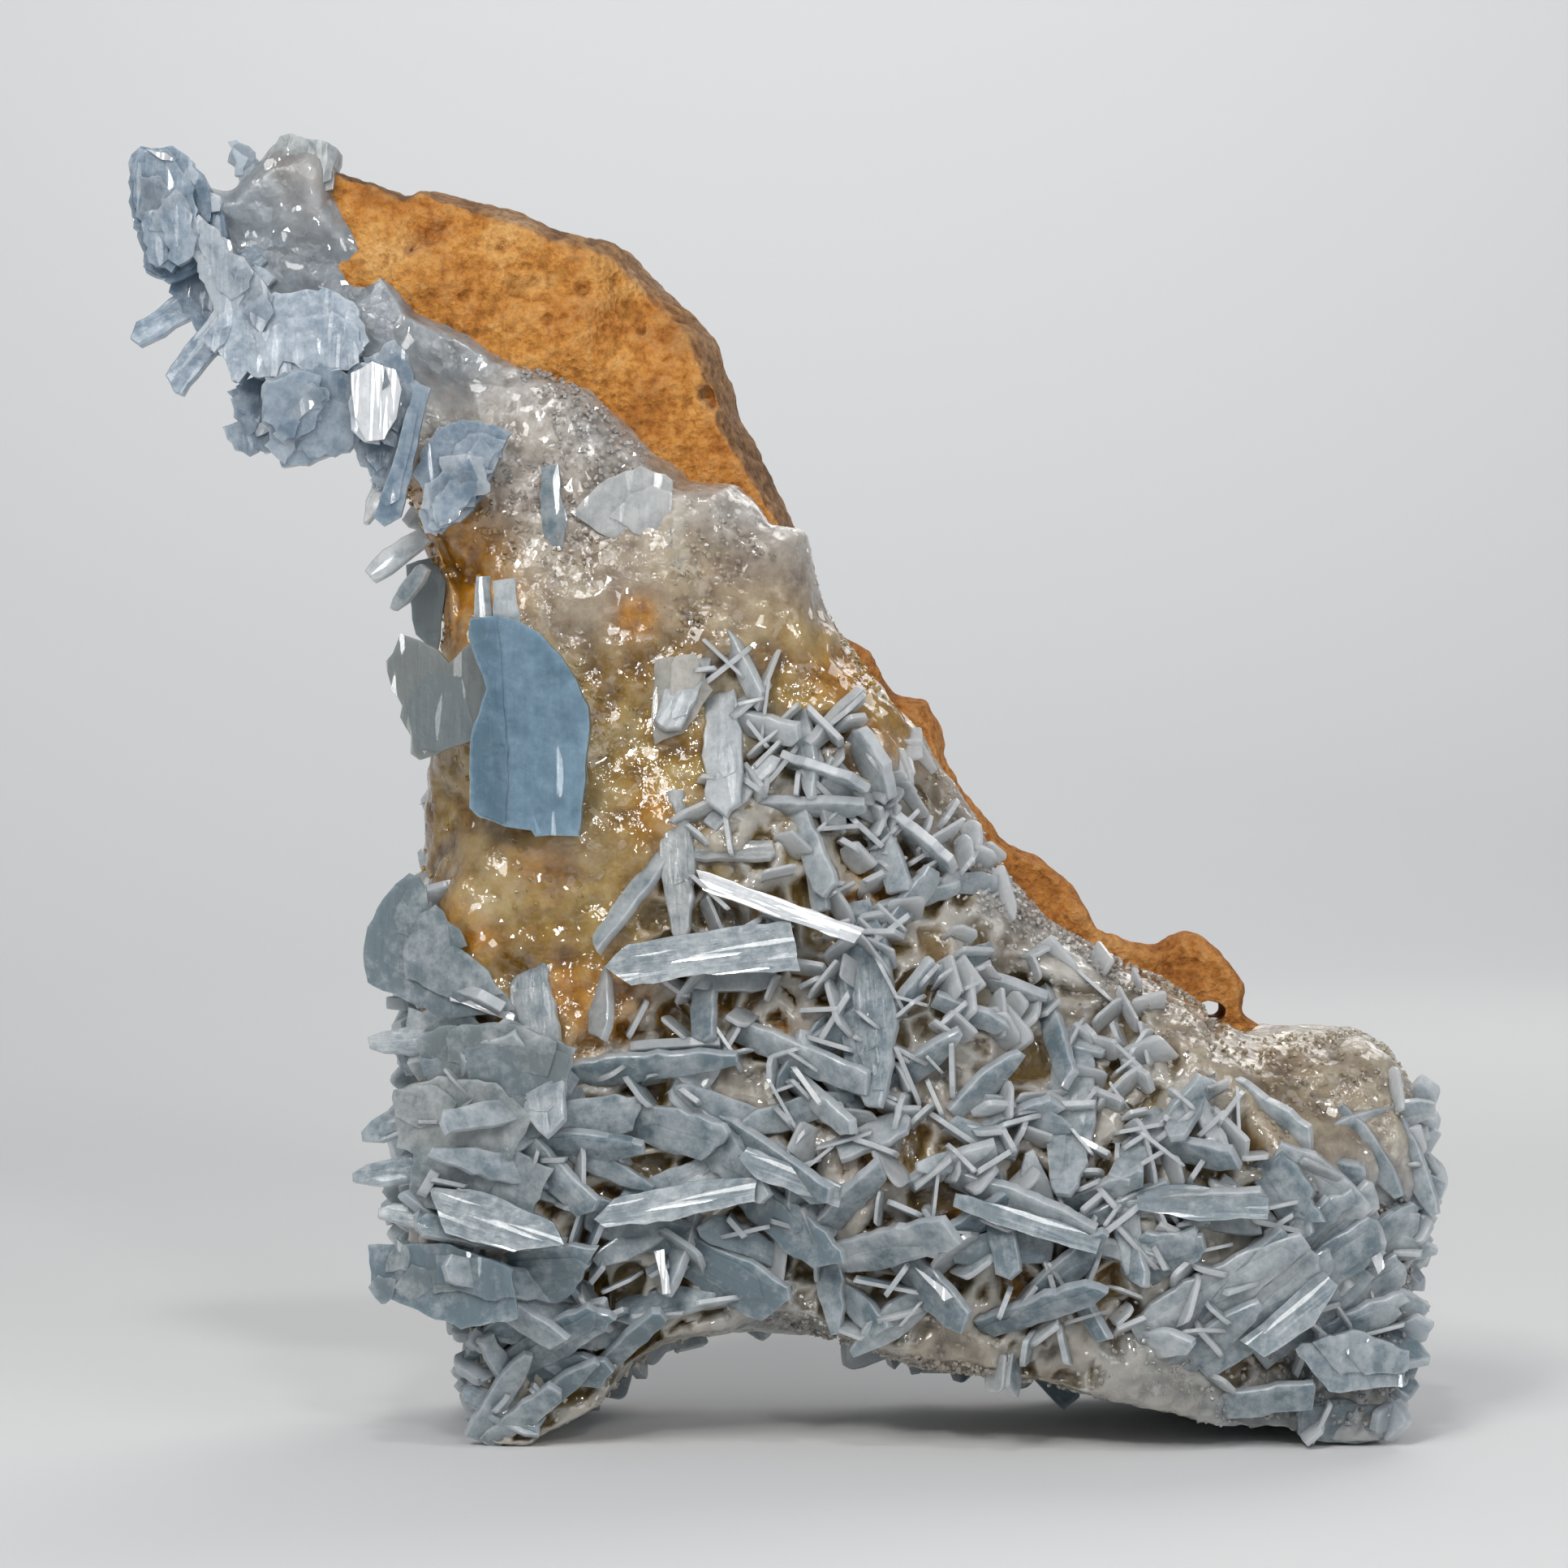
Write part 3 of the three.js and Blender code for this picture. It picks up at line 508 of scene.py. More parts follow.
slabHalf = 15.0  # half the thickness of the block that a mass is drawn out from
flangeHole = [(34.6, 34.2), (35.4, 35.6), (37.2, 35.5), (37.9, 34.4), (36.6, 33.8)]
flangeHoleHalf = 30
evenRounds = 3  # how often the even faces of a mass are smoothed
feetHeight = 12  # below this the edges are drawn in less
feetShare = 0.35  # the share of it that is left at the ground, sideways
markReach = 3  # within this of a mark its own value holds

# How deep the gaps between the blades reach into the crust: x, z and mm
recess = [
    (3, 58, 1.4), (-2, 47, 1.9), (8, 46, 1.9), (-12, 30, 3), (4, 32, 3.2), (18, 33, 3), (30, 26, 2.8),
    (-22, 28, 1.6), (-20, 16, 2), (0, 18, 3.4), (18, 16, 3), (34, 15, 2.4), (44, 20, 1.4), (44, 6, 1.6),
    (-22, 4, 1.4), (5, 11, 2),
]
# The gaps in the web of blades: their size, and how far from a gap's border it starts and is fully open.
# The web sinks by its own share of the recess, is darker by painted shade and is less stained than the bare
# crust.
gaps = {"size": 3.6, "wall": 0.1, "open": 0.3, "webSunk": 0.3, "webShade": 0.5, "webClean": 0.8}
stainStrength = 1.7
frontDepth = 4  # stains and gaps fade out over this depth before the middle
inFront = -80  # a y in front of everything


# How much each mark counts at each place: more the nearer it is, and evenly within the reach
def nearness(marks, x, z, reach):
    away = (x[:, None] - marks[None, :, 0]) ** 2 + (z[:, None] - marks[None, :, 1]) ** 2
    return 1 / (away + reach ** 2) ** 2


# The value between marks at many places at once
def valuesAt(marks, x, z):
    marks = np.array(marks, float)
    weight = nearness(marks, x, z, markReach)
    return (weight * marks[None, :, 2]).sum(1) / weight.sum(1)


def valueAt(marks, x, z):
    return float(valuesAt(marks, np.array([x]), np.array([z]))[0])


def smoothStep(value, low, high):
    t = np.clip((value - low) / (high - low), 0, 1)
    return t * t * (3 - 2 * t)


# 1 in the middle of a round spot, and less the farther out
def spotAt(x, z, middleX, middleZ, radius):
    return np.exp(-((x - middleX) ** 2 + (z - middleZ) ** 2) / radius ** 2)


def vectorsOf(mesh, name):
    vectors = np.zeros(len(mesh.vertices) * 3)
    mesh.vertices.foreach_get(name, vectors)
    return vectors.reshape(-1, 3)


def placesOf(mesh):
    return vectorsOf(mesh, "co")


def normalsOf(mesh):
    return vectorsOf(mesh, "normal")


# Nothing reaches under the ground
def moveTo(mesh, places):
    places[:, 2] = np.maximum(places[:, 2], 0)
    mesh.vertices.foreach_set("co", places.ravel())
    mesh.update()


# An outline's corners drawn out along a direction into a closed solid
def drawnOut(corners, direction):
    bm = bmesh.new()
    bm.faces.new([bm.verts.new(corner) for corner in corners])
    risen = bmesh.ops.extrude_face_region(bm, geom=bm.faces[:])["geom"]
    bmesh.ops.translate(bm, vec=direction, verts=pointsOf(risen))
    bmesh.ops.recalc_face_normals(bm, faces=bm.faces)
    return bm


def blockMesh(points, half):
    return meshOfBm(drawnOut([(x, -half, z) for x, z in points], (0, 2 * half, 0)))


# The mesh of an object with its modifiers, after which the object is gone
def appliedMesh(holder):
    mesh = bpy.data.meshes.new_from_object(holder.evaluated_get(bpy.context.evaluated_depsgraph_get()))
    bpy.data.objects.remove(holder)
    return mesh


# One closed skin round the block, less the cutter, with even small faces
def evenSkin(block, cutter, voxel):
    holder = placed("block", block)
    knife = placed("knife", cutter)
    cut = holder.modifiers.new("cut", "BOOLEAN")
    cut.operation = "DIFFERENCE"
    cut.object = knife
    remesh = holder.modifiers.new("even faces", "REMESH")
    remesh.mode = "VOXEL"
    remesh.voxel_size = voxel
    smooth = holder.modifiers.new("soft edges", "SMOOTH")
    smooth.factor = 0.5
    smooth.iterations = evenRounds
    skin = appliedMesh(holder)
    bpy.data.objects.remove(knife)
    return skin


def grownMass(form):
    block = blockMesh(form["outline"], slabHalf)
    mesh = evenSkin(block, blockMesh(flangeHole, flangeHoleHalf), form["voxel"])
    x, y, z = placesOf(mesh).T.copy()
    side = -y / slabHalf
    spine = np.array(form["spine"], float)
    weight = nearness(spine, x, z, 1)
    weight /= weight.sum(1)[:, None]
    shrink = form["rounding"] * np.abs(side) ** 3
    upright = smoothStep(z, 0, feetHeight)
    sideways = feetShare + (1 - feetShare) * upright
    x = x + ((weight * spine[None, :, 0]).sum(1) - x) * shrink * sideways
    z = z + ((weight * spine[None, :, 1]).sum(1) - z) * shrink * upright
    near = valuesAt(form["front"], x, z)
    far = valuesAt(form["back"], x, z)
    y = far + (near - far) * (side + 1) / 2
    for pitX, pitZ, radius, depth in form["pits"]:
        y += smoothStep(side, 0.8, 0.95) * depth * spotAt(x, z, pitX, pitZ, radius)
    moveTo(mesh, np.stack([x, y, z], 1))
    return mesh


# Lumps of several sizes and the finer detail, along the surface's own normals
def roughen(mesh, form, detail):
    places = placesOf(mesh)
    shift = Vector((form["seed"], 0, 0))
    push = np.zeros(len(places))
    for number, place in enumerate(map(Vector, places)):
        for size, height in form["lumps"]:
            push[number] += height * noise.noise(place / size + shift)
        push[number] += detail(place)
    moveTo(mesh, places + normalsOf(mesh) * push[:, None])


def addPointValues(mesh, name, values):
    attribute = mesh.attributes.new(name, "FLOAT", "POINT")
    attribute.data.foreach_set("value", np.asarray(values, np.float32))


# How far each point stands out of the surface around it, from -1 in a hollow to 1 on a ridge. From it the
# finishes paint a highlight on ridges and shade in hollows.
def addRidges(mesh, rounds, height):
    ends = np.zeros(len(mesh.edges) * 2, np.int32)
    mesh.edges.foreach_get("vertices", ends)
    first, second = ends.reshape(-1, 2).T
    count = len(mesh.vertices)
    near = np.bincount(np.concatenate((first, second)), minlength=count)
    places = placesOf(mesh)
    even = places.copy()
    for _ in range(rounds):
        for axis in range(3):
            values = even[:, axis]
            total = np.bincount(first, values[second], count) + np.bincount(second, values[first], count)
            even[:, axis] = total / near
    standing = ((places - even) * normalsOf(mesh)).sum(1)
    addPointValues(mesh, "ridge", np.clip(standing / height, -1, 1))


# Where the crust is honey-coloured, where it is cool grey and where iron has stained it: x, z and share;
# a stain has a radius too
honeyMarks = [
    (-42, 95, 0), (-33, 95, 0), (-25, 92, 0), (-12, 84, 0), (-3, 77, 0.05), (-28, 74, 0.9), (-15, 70, 0.35),
    (-11, 54, 1), (-8, 51, 0.9), (-22, 78, 0.15), (-12, 62, 0.9), (-20, 47, 0.8), (-28, 48, 0.9),
    (-24, 43, 0.9), (-28, 56, 0.9), (-7, 70, 0.5), (5, 70, 0.1), (2, 65, 0.8), (6, 60, 0.95), (4, 63, 1),
    (10, 52, 0.6), (14, 52, 0.2), (18, 46, 0.1), (26, 39.5, 0.1), (5, 50, 0.6), (0, 42, 0.6),
    (-14, 38, 0.9), (10, 32, 0.5), (22, 38, 0.2), (-26, 26, 0.3), (-5, 25, 0.5), (14, 17, 0.4),
    (30, 22, 0.3), (44, 31, 0.45), (40, 33, 0.55), (33, 36, 0.4), (50, 15, 0), (30, 8, 0.2), (0, 12, 0.2),
    (-20, 8, 0.1), (42, 5, 0),
]
coolMarks = [
    (-45, 101, 1), (-38, 96, 1), (-34, 91, 1), (-30, 88, 0.9), (-40, 105, 0.5), (-34, 99, 0.8),
    (-27, 94, 0.6), (-22, 84, 0.1), (-10, 80, 0), (-20, 60, 0), (0, 70, 0), (10, 50, 0), (-25, 12, 1),
    (-22, 4, 1), (10, 10, 0.9), (35, 10, 1), (50, 15, 1), (45, 31, 0.35), (36, 34, 0.4), (20, 45, 0.4),
    (25, 30, 0.2), (-5, 30, 0.1), (47, 25, 0.6), (0, 7, 1), (30, 4, 1),
]
stains = [
    (-12.3, 67.9, 1.6, 1), (-20, 48.5, 3, 0.4), (-28.5, 43, 2.5, 0.7), (-25.5, 41.5, 2, 0.6),
    (7, 44.6, 2.2, 1), (-28, 73, 4, 1), (-26, 69, 3.5, 1), (-29.5, 76, 3, 0.8), (-5, 34, 2, 0.7),
    (15, 20, 2, 0.7), (26, 17, 2, 0.8), (-14, 36, 3.5, 0.9), (-18, 37.5, 2, 0.8), (-24, 34, 1.6, 0.7),
    (-28, 17.6, 1.6, 0.9), (48.7, 18.2, 0.7, 1), (46.3, 10.6, 0.7, 1), (-22, 17, 1.5, 0.5),
    (12, 27, 1.5, 0.5), (-5, 28, 2, 0.5), (-27.8, 73.4, 2.6, 1), (4.6, 62.6, 2.8, 0.5), (-16, 20, 1.8, 0.7),
    (1, 34, 2, 0.7), (22, 27, 1.6, 0.5), (6, 24, 2, 0.6), (20, 12, 1.8, 0.6), (7.5, 57, 2.6, 0.5),
    (-11, 52, 2, 0.5),
]
# How thickly blades stand at a place on the front, 0 to 1
bladeCover = [
    (-42, 95, 0), (-25, 92, 0), (-12, 84, 0), (-3, 77, 0), (-27, 73, 0), (-15, 69, 0), (-13, 60, 0),
    (-20, 47, 0), (-28, 48, 0.1), (-7, 70, 0), (3, 70, 0.05), (-4, 62, 0.5), (3, 57, 1), (5, 63, 0),
    (2, 64, 0), (8, 62, 0), (12, 57, 0.15), (9, 53, 0.9), (-16, 45, 0), (-8, 44, 0.6), (5, 48, 1),
    (13, 47, 0.8), (18, 46, 0.15), (24, 41, 0.15), (0, 38, 0.9), (-20, 38, 0.3), (12, 36, 1), (20, 34, 1),
    (28, 31, 0.9), (34, 34, 0.15), (-26, 26, 0.8), (-8, 28, 1), (5, 25, 1), (18, 22, 1), (32, 24, 1),
    (42, 30, 0.1), (46, 24, 0.2), (46, 15, 0.5), (36, 12, 0.9), (20, 10, 1), (5, 14, 1), (-10, 14, 1),
    (-22, 12, 0.9), (-22, 4, 0.8), (30, 4, 0.1), (47, 4, 0.4), (0, 9.5, 0.1), (15, 6.5, 0.1),
]
honeyCache = {}


# The honey share changes slowly, so one value serves each square millimetre
def honeyAt(x, z):
    key = (round(x), round(z))
    if key not in honeyCache:
        honeyCache[key] = valueAt(honeyMarks, *key)
    return honeyCache[key]


# White barite is sugary and honey barite glassy
def crustDetail(place):
    honey = honeyAt(place.x, place.z)
    calm = crust["calm"] if place.x < -24 and place.z > 85 else 0
    grain, height = crust["sugar"]
    sugar = height * (0.5 - noise.voronoi(place / grain)[0][0]) * (1 - honey)
    grain, height = crust["glassy"]
    glassy = height * noise.noise(place / grain + Vector((5, 5, 5))) * honey
    return (sugar + glassy) * (1 - calm)


# A coarse and a fine grain
def rockDetail(place):
    return 0.2 * noise.noise(place / 2.1) + 0.17 * noise.noise(place / 0.8 + Vector((9, 2, 4)))


# 0 on the web of blades that have grown together and 1 in a gap of it, for each place
def gapsAt(places):
    border = np.zeros(len(places))
    for number, (x, _, z) in enumerate(places):
        near = noise.voronoi(Vector((x, 0, z)) / gaps["size"])[0]
        border[number] = near[1] - near[0]
    return smoothStep(border, gaps["wall"], gaps["open"])


# What the crust's finish reads at each point: honey, cool grey, stain, and deep, a darker olive with painted
# shade in the gaps and on the web between the blades
def addCrustValues(mesh, opened):
    places = placesOf(mesh)
    x, z = places[:, 0], places[:, 2]
    stain = np.zeros(len(x))
    for spotX, spotZ, radius, strength in stains:
        stain = np.maximum(stain, strength * spotAt(x, z, spotX, spotZ, radius))
    front = smoothStep(-places[:, 1], 0, frontDepth)
    stain = np.minimum(1, stainStrength * stain)
    webbed = smoothStep(valuesAt(bladeCover, x, z), 0.25, 0.75) * front * (1 - opened)
    addPointValues(mesh, "honey", valuesAt(honeyMarks, x, z) * (1 - webbed))
    addPointValues(mesh, "cool", np.maximum(valuesAt(coolMarks, x, z), webbed))
    # Deep is the darker olive with painted shade: full in the gaps, and at a share on the web
    addPointValues(mesh, "deep", np.maximum(opened, gaps["webShade"] * webbed) * front)
    addPointValues(mesh, "stain", stain * front * (1 - gaps["webClean"] * webbed))


# 0 where the surface faces sideways or away and 1 where it faces the viewer
def facingShare(mesh):
    return smoothStep(-normalsOf(mesh)[:, 1], 0.3, 0.8)


# It returns the surface as it is before the gaps, on which the small blades stand, and its search tree
def buildCrust():
    mesh = grownMass(crust)
    tree = BVHTree.FromPolygons([v.co for v in mesh.vertices], [p.vertices for p in mesh.polygons])
    surface = mesh.copy()
    places = placesOf(mesh)
    cover = valuesAt(bladeCover, places[:, 0], places[:, 2])
    covered = smoothStep(cover, 0.25, 0.7) * facingShare(mesh)
    opened = gapsAt(places) * covered
    sunk = gaps["webSunk"] * covered + (1 - gaps["webSunk"]) * opened
    places[:, 1] += valuesAt(recess, places[:, 0], places[:, 2]) * sunk
    moveTo(mesh, places)
    roughen(mesh, crust, crustDetail)
    addCrustValues(mesh, opened)
    addRidges(mesh, *crust["ridges"])
    finishPiece("crustSkin", mesh, crustFinish, "crust", "crust")
    return surface, tree


def buildRock():
    mesh = grownMass(rock)
    high, low = rock["flangeBelow"]
    thin = smoothStep(-placesOf(mesh)[:, 2], -high, -low)
    broken = facingShare(mesh) * (1 - thin)
    roughen(mesh, rock, rockDetail)
    addPointValues(mesh, "fresh", broken)
    addPointValues(mesh, "flange", thin)
    addRidges(mesh, *rock["ridges"])
    finishPiece("rockBody", mesh, rockFinish, "iron_stained_rock", "matrix")


buildRock()
crustSurface, crustTree = buildCrust()
print("rock and crust grown")


# Crystals. A shape is its points, its faces' corners one after another, and how many corners each has.
# A growth collects many of them and becomes one mesh, on which every corner keeps its place within its
# own blade, in mm along and across, and the blade's tone: paleness, honey share and a free number.

bladeSunk = 2.2  # how far a blade's root reaches under the surface
patternShift = 40  # so that no two blades have the same streaks
# The ends of laths, as shares of their width, and the lens shapes among them
laths = {"chisel": (0.15, 0.7), "nose": (-0.35, 0.35), "lensShare": 0.3, "lensSteps": 7}


def shapeOf(points, faces):
    corners = np.array([corner for face in faces for corner in face])
    return np.array(points, float), corners, np.array([len(face) for face in faces])


def shapeOfBm(bm):
    bm.verts.index_update()
    shape = shapeOf([v.co[:] for v in bm.verts], [[v.index for v in f.verts] for f in bm.faces])
    bm.free()
    return shape


def meshOf(points, corners, counts):
    mesh = bpy.data.meshes.new("growth")
    mesh.vertices.add(len(points))
    mesh.vertices.foreach_set("co", points.ravel())
    mesh.loops.add(len(corners))
    mesh.loops.foreach_set("vertex_index", corners.astype(np.int32))
    mesh.polygons.add(len(counts))
    mesh.polygons.foreach_set("loop_start", np.concatenate(([0], np.cumsum(counts)[:-1])).astype(np.int32))
    mesh.update(calc_edges=True)
    return mesh


class Growth:
    def __init__(self):
        self.points, self.corners, self.counts, self.local, self.tones = [], [], [], [], []

    def add(self, shape, matrix, tone, scale=(1, 1, 1)):
        points, corners, counts = shape
        local = points * np.array(scale)
        turn = np.array(matrix)
        if matrix.determinant() < 0:
            ends = np.cumsum(counts)
            corners = np.concatenate([corners[end - count:end][::-1] for end, count in zip(ends, counts)])
        self.points.append(local @ turn[:3, :3].T + turn[:3, 3])
        self.corners.append(corners)
        self.counts.append(counts)
        self.local.append(local)
        self.tones.append((*tone, 1.0))

    # What isn't on a blade's two faces counts as its ridge, which the finish paints paler: a painted
    # highlight on the blade's edges
    def bladeMesh(self, number):
        mesh = meshOf(self.points[number], self.corners[number], self.counts[number])
        local = self.local[number][self.corners[number]]
        free = np.full(len(local), self.tones[number][2] * patternShift)
        tones = np.tile(self.tones[number], (len(local), 1))
        ridge = abs(local[:, 2]) < abs(local[:, 2]).max() * 0.98
        mesh.attributes.new("tone", "FLOAT_COLOR", "CORNER").data.foreach_set("color", tones.ravel())
        along = np.stack([local[:, 0], local[:, 1], free], 1)
        mesh.attributes.new("along", "FLOAT_VECTOR", "CORNER").data.foreach_set("vector", along.ravel())
        mesh.attributes.new("ridge", "FLOAT", "CORNER").data.foreach_set("value", ridge.astype(np.float32))
        return mesh

    # All the blades grown together into closed crisp solids
    def unitedMesh(self):
        first = placed("blade", self.bladeMesh(0))
        others = bpy.data.collections.new("blades that grow together")
        for number in range(1, len(self.tones)):
            others.objects.link(bpy.data.objects.new("blade", self.bladeMesh(number)))
        union = first.modifiers.new("grown together", "BOOLEAN")
        union.operation = "UNION"
        union.operand_type = "COLLECTION"
        union.collection = others
        union.solver = "MANIFOLD"
        mesh = appliedMesh(first)
        for holder in others.objects[:]:
            bpy.data.objects.remove(holder)
        bpy.data.collections.remove(others)
        moveTo(mesh, placesOf(mesh))
        return mesh

    # Grains by the thousand stay as they are
    def looseMesh(self):
        starts = np.cumsum([0] + [len(points) for points in self.points[:-1]])
        corners = np.concatenate([corners + start for corners, start in zip(self.corners, starts)])
        mesh = meshOf(np.concatenate(self.points), corners, np.concatenate(self.counts))
        moveTo(mesh, placesOf(mesh))
        return mesh


# An outline with its edges divided and moved in and out a little
def ragged(points, step, jitter, dice):
    found = []
    for (x1, y1), (x2, y2) in zip(points, points[1:] + points[:1]):
        parts = max(1, round(math.hypot(x2 - x1, y2 - y1) / step))
        for part in range(parts):
            share = part / parts
            found.append((
                x1 + (x2 - x1) * share + dice.uniform(-jitter, jitter),
                y1 + (y2 - y1) * share + dice.uniform(-jitter, jitter),
            ))
    return found


# A flat crystal: its outline is in x and y, and the edges round both faces are cut off
def prismShape(outline, thickness, chamfer):
    bm = drawnOut([(x, y, -thickness / 2) for x, y in outline], (0, 0, thickness))
    if chamfer:
        rims = [e for e in bm.edges if abs(e.verts[0].co.z - e.verts[1].co.z) < thickness / 2]
        cutEdges(bm, rims, chamfer)
    return shapeOfBm(bm)


# A blade's outline from its sunk root along x to its tip: a lath with a chisel end, or a lens
def bladeOutline(length, width, dice, lensShare=laths["lensShare"]):
    half = width / 2
    if dice.random() < lensShare:
        upper = []
        steps = laths["lensSteps"]
        for step in range(steps + 1):
            x = step / steps * (length + bladeSunk) - bladeSunk
            upper.append((x, half * math.sin(math.pi * (0.16 + 0.8 * step / steps)) ** 0.6))
        outline = upper + [(x, -y) for x, y in reversed(upper)]
    else:
        chisel = dice.uniform(*laths["chisel"]) * width
        nose = dice.uniform(*laths["nose"]) * width
        outline = [
            (-bladeSunk, half * 0.8), (length * 0.4, half),
            (length - chisel, half * dice.uniform(0.8, 1)), (length, nose),
            (length - chisel * dice.uniform(0.2, 1), -half * dice.uniform(0.7, 1)),
            (length * 0.5, -half), (-bladeSunk, -half * 0.8),
        ]
    return ragged(outline[::-1], 1, 0.03 + 0.045 * width, dice)


# A blade's own frame: x along it, z through it and away from the facing side, turned by its roll
def basisOf(root, tip, facing, roll):
    along = (tip - root).normalized()
    across = along.cross(facing).normalized()
    through = along.cross(across)
    turned = Matrix((along, across, through)).transposed().to_4x4()
    return Matrix.Translation(root) @ turned @ Matrix.Rotation(math.radians(roll), 4, "X")


# The y of the crust's front at x and z
def frontY(x, z, fallback=None):
    hit = crustTree.ray_cast(Vector((x, inFront, z)), -towardViewer)[0]
    return fallback if hit is None else hit.y


